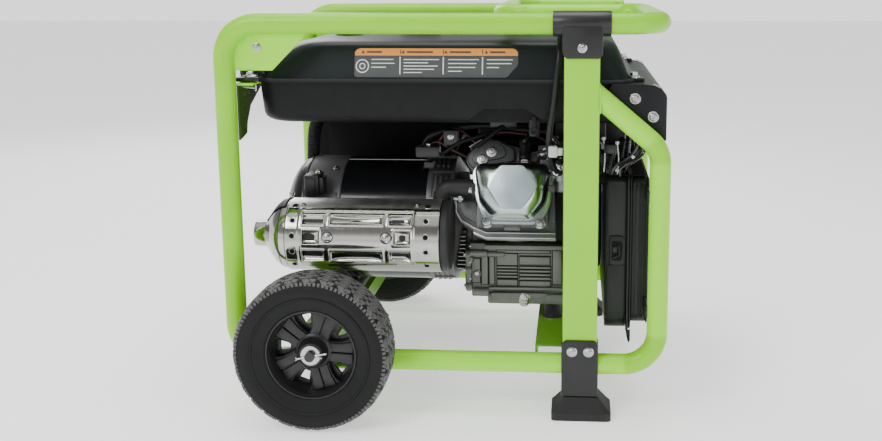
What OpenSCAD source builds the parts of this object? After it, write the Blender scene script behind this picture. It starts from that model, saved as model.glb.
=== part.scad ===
// Wheeled open-frame generator: tube frame, engine, alternator, tank and socket panel.
// +X points to the panel end, -Y to the muffler side, +Z up. The floor is Z = 0.

/* [Frame] */
// Distance between the left and right uprights, centre to centre
frame_len = 700; // [690:1:710]
// Distance between the near and far sides, centre to centre
frame_w = 520; // [515:1:530]
// Outside diameter of the frame tube
tube_d = 34; // [32:1:35]
// Wall of the frame tube
tube_wall = 2; // [1.5:0.5:3]
// Height of the top rail's centre
rail_z = 646; // [640:1:655]
// Height of the bottom rail's centre
base_z = 88; // [84:1:92]
// Centre of the rectangular post along X
post_x = 224; // [222:1:226]
// Width of the post along X
post_w = 56; // [52:1:58]

/* [Wheels] */
// Outside diameter of the tyre
wheel_d = 254; // [250:1:258]
// Width of the tyre
tyre_w = 76; // [70:1:76]
// Wheel centre along X
wheel_x = -202; // [-206:1:-198]
// Diameter of the axle
axle_d = 16; // [15:1:17]

/* [Engine] */
// Height of the crankshaft's axis
crank_z = 270; // [268:1:272]
// Cylinder centre along X
cyl_x = 109; // [107:1:111]
// Angle of the cylinder above the horizontal
cyl_tilt = 25; // [24:0.5:26]
// Half of the piston's stroke
throw = 32; // [30:1:32]
// Radius of the cylinder bore
bore_r = 44; // [42:1:44]

/* [Alternator and muffler] */
// Outside radius of the alternator
alt_r = 115; // [112:1:118]
// Radius of the muffler's body
muff_r = 58; // [54:1:58]
// Muffler axis along Y
muff_y = -190; // [-192:1:-189]
// Muffler axis height
muff_z = 284; // [280:1:288]

/* [Tow handle] */
// Diameter of the handle tube
handle_d = 28; // [26:1:30]
// Half of the handle's width, centre of leg to centre of frame
handle_y = 224; // [223:1:225]
// Pivot along X
pivot_x = 295; // [290:1:297]

/* [Hidden] */
$fn = 48;
lime = [0.62, 0.80, 0.38];
black = [0.08, 0.08, 0.09];
cast = [0.28, 0.27, 0.27];
steel = [0.72, 0.73, 0.74];
half_len = frame_len / 2;
half_w = frame_w / 2;
tube_r = tube_d / 2;
rail_low = rail_z - tube_r;
base_top = base_z + tube_r;
inner_y = half_w - tube_r;
outer_y = half_w + tube_r;
post_left = post_x - post_w / 2;
post_right = post_x + post_w / 2;
upright_top = 447;
diagonal_end = [post_x, upright_top + 107];
weld_gap = 0.02;
leg_plate = 3;
foot_top = 38;
xm_top = base_z + 24;
mount_top = 140;
wheel_r = wheel_d / 2;
rim_r = 74;
tyre_y = outer_y + 9 + tyre_w / 2;
hub_r = 21;
axle_r = axle_d / 2;
run_gap = 0.06;
handle_z = 661;
handle_left = 92;
pivot_r = 6;
flange_z = 552;
tank_x = 305;
tank_y = 225;
tank_top_z = 617;
crank_r = 17;
web_r = 56;
main_l = 184;
cam_y = 60;
cam_z = crank_z - 45;
gear_m = 2.5;
gear_x = 140;
bracket_wall = 6;
hood_y = 241;
panel_front = 337;
grip_z = 342;
neck_top = 343;
neck_x = -14;
port_y = -161;
port_z = 361;
flap_z = 356;
flap_ys = [-150, 60];
flap_size = 84;

// Hose and wire routes: round points, hand laid
vent_route = [[189, -122, 634], [189, -145, 637], [189, -175, 639], [189, -203, 631],
    [188, -224, 612], [187, -236, 588], [184, -240, 562], [181, -240, 532],
    [177, -238, 502], [173, -235, 474], [171, -229, 449], [173, -217, 427],
    [178, -199, 407], [184, -178, 394], [189, -158, 388]];
lead_route = [[127, -147, 440], [134, -139, 449], [146, -134, 455], [160, -130, 455],
    [174, -127, 448], [184, -123, 437], [192, -118, 424], [200, -114, 410]];
conduit_route = [[-288, 35, 366], [-288, 38, 390], [-288, 44, 410], [-288, 58, 430],
    [-287, 80, 443], [-286, 110, 447], [-286, 152, 447]];
bundle_route = [[310, -172, 498], [316, -177, 482], [321, -183, 464], [323, -188, 446],
    [319, -192, 430], [308, -194, 418], [294, -195, 411], [285, -195, 404], [282, -195, 394]];
loom_route = [[28, 196, 400], [60, 192, 420], [110, 186, 438], [170, 182, 450],
    [230, 176, 460], [285, 165, 466], [318, 155, 478], [332, 150, 500]];
stator_route = [[-20, 20, 381], [-12, 30, 400], [-6, 60, 412], [-6, 100, 410], [-6, 152, 400]];

// ---------- helpers ----------

function unit(v) = v / norm(v);
function turn_angle(u, v) = acos(max(-1, min(1, u * v)));

// Rod of radius r along straight legs with round bends; a gap butts the legs to the bends
module rod_path(pts, bends, r, gap = 0) {
    n = len(pts);
    dirs = [for (i = [0:n - 2]) unit(pts[i + 1] - pts[i])];
    cut = [for (i = [0:n - 1]) (i == 0 || i == n - 1) ? 0
        : bends[i] * tan(turn_angle(dirs[i - 1], dirs[i]) / 2)];
    for (i = [0:n - 2]) {
        leg(pts[i] + dirs[i] * (cut[i] + (i > 0 ? gap : 0)),
            pts[i + 1] - dirs[i] * (cut[i + 1] + (i < n - 2 ? gap : 0)), r);
    }
    for (i = [1:n - 2]) {
        elbow(pts[i], dirs[i - 1], dirs[i], bends[i], r);
    }
}

module leg(a, b, r) {
    d = b - a;
    w = unit(d);
    side = abs(w[2]) < 0.9 ? unit(cross([0, 0, 1], w)) : unit(cross([0, 1, 0], w));
    up = cross(w, side);
    multmatrix([[side[0], up[0], w[0], a[0]], [side[1], up[1], w[1], a[1]],
        [side[2], up[2], w[2], a[2]]])
        cylinder(r = r, h = norm(d));
}

module elbow(p, u, v, bend, r) {
    angle = turn_angle(u, v);
    n = unit(v - (u * v) * u);
    c = p - u * bend * tan(angle / 2) + n * bend;
    a = cross(u, n);
    multmatrix([[-n[0], u[0], a[0], c[0]], [-n[1], u[1], a[1], c[1]],
        [-n[2], u[2], a[2], c[2]]])
        rotate_extrude(angle = angle) translate([bend, 0]) circle(r = r);
}

module pipe_path(pts, bends, d, wall, gap = 0) {
    difference() {
        rod_path(pts, bends, d / 2, gap);
        rod_path(pts, bends, d / 2 - wall);
    }
}

// A plain tube swept along a smooth list of points
module cord(route, r, sides = 8) {
    n = len(route);
    tangent = [for (i = [0:n - 1]) unit(route[min(i + 1, n - 1)] - route[max(i - 1, 0)])];
    rings = [for (i = [0:n - 1])
        let (s = unit(cross(abs(tangent[i][0]) > 0.8 ? [0, 1, 0] : [1, 0, 0], tangent[i])),
            u = cross(tangent[i], s))
        for (k = [0:sides - 1])
            route[i] + r * (cos(k * 360 / sides) * s + sin(k * 360 / sides) * u)];
    quads = [for (i = [0:n - 2]) for (k = [0:sides - 1])
        [i * sides + k, (i + 1) * sides + k, (i + 1) * sides + (k + 1) % sides,
            i * sides + (k + 1) % sides]];
    start_cap = [for (k = [0:sides - 1]) k];
    end_cap = [for (k = [sides - 1:-1:0]) (n - 1) * sides + k];
    polyhedron(points = rings, faces = concat([start_cap, end_cap], quads));
}

module along_x(x, y, z) { translate([x, y, z]) rotate([0, 90, 0]) children(); }
module along_y(x, y, z) { translate([x, y, z]) rotate([-90, 0, 0]) children(); }
module both_sides() {
    children();
    mirror([0, 1, 0]) children();
}
module block(lo, hi) { translate(lo) cube(hi - lo); }
// Profile drawn in X and Z, extruded from y0 to y1
module plate_xz(pts, y0, y1) {
    translate([0, y1, 0]) rotate([90, 0, 0]) linear_extrude(y1 - y0) polygon(pts);
}
// Profile drawn in Y and Z, extruded from x0 to x1
module plate_yz(pts, x0, x1) {
    translate([x0, 0, 0]) rotate([90, 0, 90]) linear_extrude(x1 - x0) polygon(pts);
}
// Round part about the crankshaft's axis, from [x, radius] points
module crank_round(pts) {
    translate([0, 0, crank_z]) rotate([0, 90, 0]) rotate_extrude($fn = 72)
        polygon([for (p = pts) [p[1], p[0]]]);
}
module crank_disc(x0, x1, r) { along_x(x0, 0, crank_z) cylinder(r = r, h = x1 - x0); }
module crank_ring(x0, x1, r, hole) {
    difference() {
        crank_disc(x0, x1, r);
        crank_disc(x0 - 1, x1 + 1, hole);
    }
}
// Cylinder frame: +Z out through the head, +Y up the slope
module tilted() { translate([cyl_x, 0, crank_z]) rotate([90 - cyl_tilt, 0, 0]) children(); }
module bolt(r, h) {
    cylinder(r = r * 1.35, h = h * 0.25);
    translate([0, 0, h * 0.25]) cylinder(r = r, h = h * 0.75, $fn = 6);
}
function gear_outline(teeth, m, phase) = let (pitch = 360 / teeth, r = teeth * m / 2)
    [for (i = [0:teeth - 1])
        for (e = [[-0.30, -1.2], [-0.11, 0.75], [0.11, 0.75], [0.30, -1.2]])
            let (a = phase + (i + e[0]) * pitch, q = r + e[1] * m) q * [cos(a), sin(a)]];

// ---------- frame ----------

hoop_pts = [[-half_len + 90, -half_w, base_z], [-half_len, -half_w, base_z],
    [-half_len, -half_w, rail_z], [half_len, -half_w, rail_z], [half_len, half_w, rail_z],
    [-half_len, half_w, rail_z], [-half_len, half_w, base_z],
    [-half_len + 90, half_w, base_z]];
hoop_bends = [0, 60, 55, 60, 60, 55, 60, 0];

module frame_hoop() {
    color(lime) pipe_path(hoop_pts, hoop_bends, tube_d, tube_wall);
}

module lower_tube_pair() {
    pipe_path([[-half_len + 90, -half_w, base_z], [post_left, -half_w, base_z]],
        [0, 0], tube_d, tube_wall);
    // Right upright, its upper bend and the diagonal, butted with a hair of weld gap
    corner = [half_len, -half_w, upright_top];
    diagonal = unit([diagonal_end[0], -half_w, diagonal_end[1]] - corner);
    cut = 50 * tan(turn_angle([0, 0, 1], diagonal) / 2);
    pipe_path([[post_right, -half_w, base_z], [half_len, -half_w, base_z],
        corner - [0, 0, cut + weld_gap]], [0, 55, 0], tube_d, tube_wall, weld_gap);
    difference() {
        elbow(corner, [0, 0, 1], diagonal, 50, tube_r);
        elbow(corner, [0, 0, 1], diagonal, 50, tube_r - tube_wall);
    }
    difference() {
        leg(corner + diagonal * (cut + weld_gap), corner + diagonal * 160, tube_r);
        leg(corner + diagonal * cut, corner + diagonal * 170, tube_r - tube_wall);
        block([post_left - 30, -outer_y - 5, 300], [post_right, -inner_y + 5, rail_z]);
    }
}

module lower_tubes() {
    color(lime) both_sides() lower_tube_pair();
}

module frame_posts() {
    color(lime) both_sides() difference() {
        block([post_left, -outer_y, foot_top + 4], [post_right, -inner_y, rail_low]);
        block([post_left + 2.5, -outer_y + 2.5, foot_top + 3],
            [post_right - 2.5, -inner_y - 2.5, rail_low + 1]);
    }
}

module crossmembers() {
    color(lime) {
        for (x = [[-262, -190], [150, 202]]) difference() {
            block([x[0], -inner_y, base_z - 8], [x[1], inner_y, xm_top]);
            block([x[0] + 3, -inner_y - 1, base_z - 9], [x[1] - 3, inner_y + 1, xm_top - 3]);
        }
        // Axle ears
        both_sides() difference() {
            block([wheel_x - 18, -238, xm_top], [wheel_x + 12, -232, 145]);
            along_y(wheel_x, -240, wheel_r) cylinder(r = axle_r + run_gap, h = 12);
        }
        // Battery tray
        block([56, 158, xm_top], [202, 239, xm_top + 3]);
    }
}

module corner_gussets() {
    left = -half_len + tube_r;
    color(lime) both_sides() difference() {
        plate_xz([[left - 6, 571], [-272, 571], [-208, rail_low + 6], [left - 6, rail_low + 6]],
            -half_w - 2, -half_w + 2);
        rod_path(hoop_pts, hoop_bends, tube_r);
    }
}

module tank_brackets() {
    left = -half_len + tube_r;
    color(lime) both_sides() {
        difference() {
            plate_yz([[-inner_y, 546], [-150, 546], [-150, 532], [-205, 505], [-222, 470],
                [-232, 436], [-inner_y, 430]], left, left + 3);
            for (p = [[-230, 525], [-232, 500], [-234, 475], [-235, 450]]) {
                along_x(left - 1, p[0], p[1]) cylinder(r = 4, h = 5);
            }
        }
        block([left, -inner_y, 546], [-tank_x - 1.5, -150, 549]);
        // Right-hand tank rest, on a lug of the post
        block([post_left + 8, -inner_y, 546], [post_right - 8, -228, 549]);
    }
}

module post_brackets() {
    color(black) both_sides() {
        difference() {
            union() {
                along_x(178, -half_w, rail_z) cylinder(r = tube_r + leg_plate, h = 91);
                block([post_left + 1, -outer_y - leg_plate, 594],
                    [post_right - 1, -outer_y, rail_z]);
                block([post_left + 1, -inner_y, 594], [post_right - 1, -inner_y + leg_plate, rail_z]);
            }
            along_x(170, -half_w, rail_z) cylinder(r = tube_r, h = 110);
            block([170, -half_w - 13, 600], [280, -half_w + 13, rail_z - 13]);
            block([post_left - 1, -outer_y, 590], [post_right + 1, -inner_y, rail_z]);
        }
        // Leg shoe round the post's lower end
        block([post_left + 2, -outer_y - leg_plate, foot_top], [post_right - 2, -outer_y, 134]);
        block([post_left + 10, -inner_y, foot_top], [post_right - 2, -inner_y + leg_plate, 134]);
        block([post_left + 2, -outer_y - leg_plate, foot_top],
            [post_right - 2, -inner_y + leg_plate, foot_top + 4]);
    }
}

module rubber_feet() {
    color(black) both_sides() {
        translate([post_x + 4, -half_w - 2, 0]) linear_extrude(12)
            square([98, 66], center = true);
        hull() {
            translate([post_x + 4, -half_w - 2, 12]) linear_extrude(1)
                square([98, 66], center = true);
            translate([post_x, -half_w, foot_top - 2]) linear_extrude(2)
                square([54, 44], center = true);
        }
    }
}

module frame_bolts() {
    color(steel) {
        both_sides() {
            translate([post_x, -outer_y - leg_plate, 609]) rotate([90, 0, 0]) bolt(5, 6);
            for (x = [-14, 14]) {
                translate([post_x + x + 1, -outer_y - leg_plate, 115]) rotate([90, 0, 0]) bolt(6, 7);
            }
            translate([-295, -half_w - 2, 608]) rotate([90, 0, 0]) bolt(5, 6);
            translate([305, -hood_y, 528]) rotate([90, 0, 0]) bolt(5, 5);
            translate([335, -hood_y, 499]) rotate([90, 0, 0]) bolt(5, 5);
            translate([316, -191, flange_z + 3]) bolt(6, 9);
            // Handle pivot: ear on the rail, stud and nut
            difference() {
                block([pivot_x - 15, -253, 638], [pivot_x + 15, -inner_y + 2, 676]);
                rod_path(hoop_pts, hoop_bends, tube_r);
            }
            along_y(pivot_x, -inner_y + 2, handle_z) cylinder(r = pivot_r, h = 35);
            along_y(pivot_x, -handle_y + handle_d / 2 + 0.5, handle_z)
                cylinder(r = 10, h = 5, $fn = 6);
            // Rest tab under the handle's leg
            difference() {
                block([112, -inner_y - 3, 641], [132, -handle_y + 6, 645.5]);
                rod_path(hoop_pts, hoop_bends, tube_r);
            }
        }
    }
}

// ---------- wheels ----------

module axle() {
    color(steel) difference() {
        along_y(wheel_x, -tyre_y - 36, wheel_r) cylinder(r = axle_r, h = 2 * tyre_y + 72);
        for (y = [-tyre_y - 31, tyre_y + 31]) {
            translate([wheel_x, y, wheel_r - 20]) cylinder(r = 2.2, h = 40);
        }
    }
}

module rim_at(side) {
    along_y(wheel_x, side * tyre_y, wheel_r) difference() {
        union() {
            difference() {
                translate([0, 0, -27]) cylinder(r = rim_r, h = 54);
                translate([0, 0, -28]) cylinder(r = rim_r - 6, h = 56);
            }
            translate([0, 0, -6]) for (i = [0:4]) for (a = [-13, 13]) {
                rotate([0, 0, i * 72 + a + 18]) translate([26, -5, 0]) cube([rim_r - 29, 10, 14]);
            }
            translate([0, 0, -7]) cylinder(r = 30, h = 16);
            translate([0, 0, -32]) cylinder(r = hub_r, h = 58);
        }
        translate([0, 0, -40]) cylinder(r = axle_r + run_gap, h = 80);
    }
}

// Tyre section: half width at each radius
tyre_half = [[rim_r, 27], [82, 32], [94, 36.5], [106, tyre_w / 2], [116, 37.5], [121, 35.5],
    [125, 31], [wheel_r, 22]];
module tyre_at(side) {
    along_y(wheel_x, side * tyre_y, wheel_r) rotate_extrude($fn = 96)
        polygon(concat([for (p = tyre_half) [p[0], p[1]]],
            [for (i = [len(tyre_half) - 1:-1:0]) [tyre_half[i][0], -tyre_half[i][1]]]));
}

module near_rim() { color(black) mirror([0, 1, 0]) rim_at(1); }
module far_rim() { color(black) rim_at(1); }
module near_tyre() { color(black) tyre_at(-1); }
module far_tyre() { color(black) tyre_at(1); }

module wheel_retainers() {
    color(steel) both_sides() {
        // Washers each side of the hub, and the cotter through the axle
        along_y(wheel_x, -tyre_y - 29, wheel_r) difference() {
            cylinder(r = 15, h = 2.5);
            translate([0, 0, -1]) cylinder(r = axle_r + 0.02, h = 5);
        }
        along_y(wheel_x, -tyre_y + 32.4, wheel_r) difference() {
            cylinder(r = 14, h = 2.5);
            translate([0, 0, -1]) cylinder(r = axle_r + 0.02, h = 5);
        }
        translate([wheel_x, -tyre_y - 31, wheel_r - 16]) cylinder(r = 1.6, h = 34);
    }
}

module tow_handle() {
    color(lime) difference() {
        rod_path([[pivot_x + 12, -handle_y, handle_z], [handle_left, -handle_y, handle_z],
            [handle_left, handle_y, handle_z], [pivot_x + 12, handle_y, handle_z]],
            [0, 50, 50, 0], handle_d / 2, weld_gap);
        rod_path([[pivot_x - 20, -handle_y, handle_z], [handle_left, -handle_y, handle_z],
            [handle_left, handle_y, handle_z], [pivot_x - 20, handle_y, handle_z]],
            [0, 50, 50, 0], handle_d / 2 - 2);
        both_sides() along_y(pivot_x, -handle_y - 20, handle_z)
            cylinder(r = pivot_r + run_gap, h = 40);
    }
}

// ---------- engine ----------

module crankcase() {
    color(cast) difference() {
        union() {
            plate_yz([[-112, 152], [-112, 235], [-89, 245], [-35, 361], [30, 361], [122, 300],
                [122, 152]], 30, 196);
            block([26, -118, mount_top], [200, 128, 152]);
            tilted() translate([0, 0, 60]) cylinder(r = 52, h = 105);
            tilted() for (k = [0:5]) translate([0, 0, 78 + k * 14]) cylinder(r = 60, h = 4);
            // Front ribs and bosses
            for (z = [168:11:212]) block([52, -116, z], [176, -112, z + 5]);
            for (z = [160, 226]) along_x(30, -108, z) cylinder(r = 9, h = 30);
        }
        crank_disc(29, main_l, 66);
        along_x(29, cam_y, cam_z) cylinder(r = 55.5, h = main_l - 29);
        tilted() cylinder(r = bore_r, h = 180);
        crank_disc(main_l - 2, 205, crank_r + run_gap);
        along_x(main_l - 1, cam_y, cam_z) cylinder(r = 9 + run_gap, h = 7.5);
    }
}

module crankcase_cover() {
    color(cast) difference() {
        union() {
            plate_yz([[-112, 152], [-112, 235], [-89, 245], [-50, 330], [-20, 340], [30, 340],
                [122, 292], [122, 152]], 18, 30);
            crank_disc(12, 20, 34);
        }
        crank_disc(10, 32, crank_r + run_gap);
        along_x(23.5, cam_y, cam_z) cylinder(r = 9 + run_gap, h = 8);
    }
}

module cylinder_head() {
    color(cast) tilted() difference() {
        union() {
            translate([-54, -46, 165]) cube([108, 92, 38]);
            for (k = [0:3]) translate([-60, -52, 168 + k * 9]) cube([120, 104, 4]);
        }
        translate([0, 0, 164]) cylinder(r = 38, h = 8);
        translate([-40, -34, 186]) cube([80, 68, 18]);
        translate([18, 20, 178]) rotate([-90, 0, 0]) cylinder(r = 7.1, h = 40);
    }
}

vc_outline = [[-52, -50], [-38, -54], [38, -54], [52, -50], [66, 8], [66, 40], [56, 50],
    [-56, 50], [-66, 40], [-66, 8]];
module valve_cover() {
    color(steel) tilted() {
        translate([0, 0, 203]) linear_extrude(4) polygon(vc_outline);
        hull() {
            translate([0, 0, 207]) linear_extrude(1) polygon(vc_outline * 0.88);
            translate([0, 0, 240]) linear_extrude(1) polygon(vc_outline * 0.62);
        }
    }
}

shroud_outline = [[-46, -58], [64, -58], [71, -50], [71, -8], [65, 4], [65, 62], [54, 74],
    [-40, 74], [-84, 58], [-108, 40], [-108, 8]];
module head_shroud() {
    color(cast) tilted() difference() {
        translate([0, 0, 104]) linear_extrude(62) polygon(shroud_outline);
        translate([0, 0, 100]) cylinder(r = 60.6, h = 70);
        translate([-98, 2, 100]) cube([40, 40, 63]);
        translate([-60.5, -52.5, 160]) cube([121, 105, 12]);
    }
}

module crankshaft() {
    color(steel) difference() {
        union() {
            crank_disc(-35, 84, crank_r);
            crank_disc(84, 98, web_r);
            crank_disc(120, 134, web_r);
            crank_disc(134, 197, crank_r);
            crank_disc(197, 246, 14);
            tilted() translate([-11, 0, throw]) rotate([0, 90, 0]) cylinder(r = 18, h = 22);
            translate([gear_x, 0, crank_z]) rotate([90, 0, 90]) linear_extrude(10)
                polygon(gear_outline(20, gear_m, atan2(-45, cam_y)));
        }
        crank_disc(-36, -20, 8);
    }
}

module camshaft() {
    color(steel) union() {
        along_x(24.5, cam_y, cam_z) cylinder(r = 9, h = 165);
        along_x(60, cam_y, cam_z - 3) cylinder(r = 13, h = 10);
        along_x(104, cam_y + 3, cam_z) cylinder(r = 13, h = 10);
        translate([gear_x, cam_y, cam_z]) rotate([90, 0, 90]) linear_extrude(10)
            polygon(gear_outline(40, gear_m, atan2(45, -cam_y) + 4.5));
    }
}

module piston_and_rod() {
    color(steel) tilted() {
        difference() {
            translate([0, 0, 124]) cylinder(r = bore_r - 0.3, h = 40);
            translate([0, 0, 123]) cylinder(r = 36, h = 32);
        }
        translate([-37, 0, 140]) rotate([0, 90, 0]) cylinder(r = 8, h = 74);
        difference() {
            translate([-7, -9, 54]) cube([14, 18, 96]);
            translate([-9, 0, 140]) rotate([0, 90, 0]) cylinder(r = 7.9, h = 18);
        }
    }
}

module flywheel() {
    color(cast) difference() {
        union() {
            crank_disc(206, 224, 104);
            crank_ring(204.5, 206, 104, 80);
            for (a = [0:20:340]) translate([224, 0, crank_z]) rotate([a, 0, 0])
                translate([0, -2, 60]) cube([12, 4, 42]);
            crank_disc(200, 228, 26);
        }
        crank_disc(198, 240, 14);
    }
}

module fan_housing() {
    color(black) difference() {
        union() {
            crank_disc(200, 240, 138);
            plate_yz([[-138, crank_z], [-60, crank_z + 138], [-60, 418], [-130, 418], [-150, 392]],
                200, 240);
        }
        crank_disc(203, 237, 130);
        plate_yz([[-128, crank_z], [-60, crank_z + 128], [-62, 414], [-128, 414], [-146, 390]],
            203, 237);
        crank_disc(198, 204, 60);
        crank_disc(236, 242, 84);
    }
}

module recoil_cover() {
    color(black) difference() {
        union() {
            crank_round([[240, 0], [240, 100], [243, 100], [258, 90], [262, 84], [262, 0]]);
            // Rope guide out to the far side
            block([243, 50, grip_z - 7], [256, 160, grip_z + 7]);
            block([243, 158, grip_z - 9], [272, 166, grip_z + 9]);
        }
        crank_disc(239, 258, 82);
        for (a = [0:20:340]) translate([255, 0, crank_z]) rotate([a, 0, 0])
            translate([0, -4, 36]) cube([10, 8, 34]);
    }
}

module recoil_grip() {
    color(black) union() {
        translate([263, 180, grip_z - 42]) cylinder(r = 9, h = 84);
        along_y(263, 166.4, grip_z) cylinder(r = 6, h = 8);
    }
}

module oil_plugs() {
    color(steel) {
        translate([125, -118, 146]) rotate([90, 0, 0]) bolt(7, 9);
        translate([41, -112, 194]) rotate([90, 0, 0]) cylinder(r = 10, h = 14);
    }
}

module spark_plug() {
    color("white") tilted() translate([18, 22, 178]) rotate([-90, 0, 0]) {
        cylinder(r = 7, h = 30);
        translate([0, 0, 30.5]) cylinder(r = 11, h = 10, $fn = 6);
        translate([0, 0, 40.5]) cylinder(r = 5.5, h = 22);
    }
}

module plug_lead() {
    color(black) {
        tilted() translate([18, 22, 178]) rotate([-90, 0, 0]) difference() {
            translate([0, 0, 46]) cylinder(r = 10, h = 34);
            translate([0, 0, 45]) cylinder(r = 5.6, h = 18);
        }
        cord(lead_route, 3.5);
        // Ignition coil inside the fan housing, beside the flywheel's rim
        block([203, -98, 356], [222, -70, 380]);
    }
}

module carburettor() {
    color(steel) {
        block([181, -158, 372], [198, -122.5, 404]);
        translate([189, -140, 352]) cylinder(r = 10, h = 20);
        translate([189, -140, 404]) cylinder(r = 2.5, h = 8);
    }
}

module air_cleaner() {
    color(black) difference() {
        union() {
            hull() {
                block([34, -38, 404], [188, 66, 440]);
                block([40, -32, 404], [182, 60, 462]);
            }
            block([180, -122, 384], [198, -34, 402]);
            block([180, -60, 400], [198, -34, 420]);
        }
        along_y(189, -126, 393) cylinder(r = 6, h = 60);
    }
}

module choke_lever() {
    color(black) {
        translate([189, -140, 406]) difference() {
            union() {
                cylinder(r = 6, h = 4);
                block([-2, -34, 0], [2, 0, 4]);
                translate([0, -36, 0]) cylinder(r = 5, h = 4);
            }
            translate([0, 0, -1]) cylinder(r = 2.5 + run_gap, h = 6);
        }
    }
}

// ---------- exhaust ----------

module exhaust_elbow() {
    color(black) {
        rod_path([[cyl_x - 62, port_y, port_z], [neck_x, port_y, port_z],
            [neck_x, port_y, neck_top]], [0, 17, 0], 15);
        along_x(cyl_x - 67, port_y, port_z) cylinder(r = 17.5, h = 7);
    }
}

module muffler_body() {
    color(black) {
        along_x(-304, muff_y, muff_z) {
            cylinder(r1 = 30, r2 = muff_r, h = 24);
            translate([0, 0, 24]) cylinder(r = muff_r, h = 285);
        }
        translate([neck_x, port_y, muff_z]) cylinder(r = 17, h = neck_top - muff_z);
        // Strut down to the alternator's foot
        plate_yz([[-200, 230], [-170, 235], [-96, 156], [-112, 156]], -240, -235);
        along_x(-311, muff_y, muff_z) difference() {
            cylinder(r = 27, h = 7);
            translate([0, 0, -1]) cylinder(r = 19, h = 8);
        }
        along_x(-331, muff_y, muff_z) difference() {
            cylinder(r = 22.5, h = 20);
            translate([0, 0, -1]) cylinder(r = 20, h = 22);
        }
    }
}

slot_rows = [-24, 0, 24];
module muffler_shield() {
    color(steel) difference() {
        along_x(-267, muff_y, muff_z) difference() {
            rotate([0, 0, 120]) rotate_extrude(angle = 210, $fn = 96)
                translate([muff_r + 3, 0]) square([2.5, 258]);
            for (z = [12, 237]) for (a = [-48, -24, 0, 24, 48]) {
                translate([0, 0, z]) rotate([0, 0, 180 + a]) rotate([0, 90, 0])
                    cylinder(r = 3.5, h = 80);
            }
            for (a = slot_rows) for (s = [[31, 37], [78, 86], [176, 35]]) {
                translate([0, 0, s[0]]) rotate([0, 0, 180 + a]) translate([40, -8, 0])
                    cube([40, 16, s[1]]);
            }
        }
        // Notch round the inlet neck
        translate([neck_x - 22, port_y - 20, muff_z + 20]) cube([60, 80, 60]);
    }
}

module rubber_mounts() {
    color(black) both_sides() for (x = [-238, 176]) {
        translate([x, -95, xm_top]) cylinder(r = 18, h = mount_top - xm_top);
    }
}

module starter_motor() {
    color(black) union() {
        along_x(98, 112, 378) cylinder(r = 33, h = 102);
        along_x(104, 112, 424) cylinder(r = 12, h = 60);
    }
}

// ---------- alternator ----------

module stator() {
    color(black) {
        crank_ring(-200, -46, alt_r - 2, 80);
        for (a = [45:90:315]) translate([-199, 0, crank_z]) rotate([a, 0, 0])
            translate([0, -5, alt_r - 8]) cube([152, 10, 9]);
    }
}

module alternator_brackets() {
    color(cast) {
        difference() {
            crank_disc(-273, -200, alt_r);
            crank_disc(-267, -199, alt_r - bracket_wall);
            crank_disc(-275, -265, 12.5 + run_gap);
        }
        // Bearing boss and the regulator block
        crank_ring(-267, -252, 24, 12.5 + run_gap);
        difference() {
            block([-265, -126, 335], [-236, -70, 372]);
            crank_disc(-270, -230, alt_r);
        }
        difference() {
            crank_round([[-46, 0], [-46, alt_r], [-6, alt_r], [12, 88], [12, 0]]);
            crank_disc(-47, 6, 108);
            crank_disc(0, 14, 34.1);
            for (a = [0:30:330]) translate([-36, 0, crank_z]) rotate([a, 0, 0])
                translate([0, -12, 90]) cube([26, 24, 40]);
        }
        // Feet on the rubber mounts, with legs up to the ring
        difference() {
            both_sides() {
                block([-262, -112, mount_top], [-204, -60, 156]);
                block([-232, -106, 155], [-208, -76, 205]);
            }
            crank_disc(-270, -199, alt_r - 1);
        }
    }
}

module end_cover() {
    color(black) difference() {
        crank_round([[-273, 0], [-273, alt_r - 1], [-278, alt_r - 3], [-292, alt_r - 14],
            [-303, alt_r - 30], [-310, alt_r - 52], [-312, alt_r - 72], [-312, 0]]);
        crank_round([[-272, 0], [-272, alt_r - 5], [-290, alt_r - 18], [-300, alt_r - 34],
            [-307, alt_r - 54], [-309, 0]]);
        for (z = [-48:16:48]) block([-314, -30, crank_z + z - 3], [-300, 30, crank_z + z + 3]);
    }
}

module rotor() {
    color([0.6, 0.35, 0.2]) {
        difference() {
            union() {
                crank_disc(-190, -60, 78);
                crank_disc(-252, -40, 15);
                crank_disc(-268, -252, 12.5);
                crank_disc(-44, -24, 27);
            }
            for (a = [0, 90]) translate([-191, 0, crank_z]) rotate([a, 0, 0]) {
                block([0, -11, 44], [132, 11, 80]);
                block([0, -11, -80], [132, 11, -44]);
            }
            crank_disc(-35, -22, crank_r);
        }
        for (a = [12:24:348]) translate([-43, 0, crank_z]) rotate([a, 0, 0])
            translate([0, -1.5, 25]) cube([18, 3, 78]);
    }
}

// ---------- fuel ----------

// Rounded plate of the tank, inset from the flange by i
module tank_slice(z, ix, iy, t = 1) {
    translate([0, 0, z]) linear_extrude(t) polygon([for (c = [[1, 1, 0], [-1, 1, 90],
        [-1, -1, 180], [1, -1, 270]]) for (a = [0:15:90])
            [c[0] * (tank_x - ix - 36), c[1] * (tank_y - iy - 36)]
                + 36 * [cos(c[2] + a), sin(c[2] + a)]]);
}

module bolt_ears(z) { both_sides() block([300, -204, z], [326, -178, z + 3]); }

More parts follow.
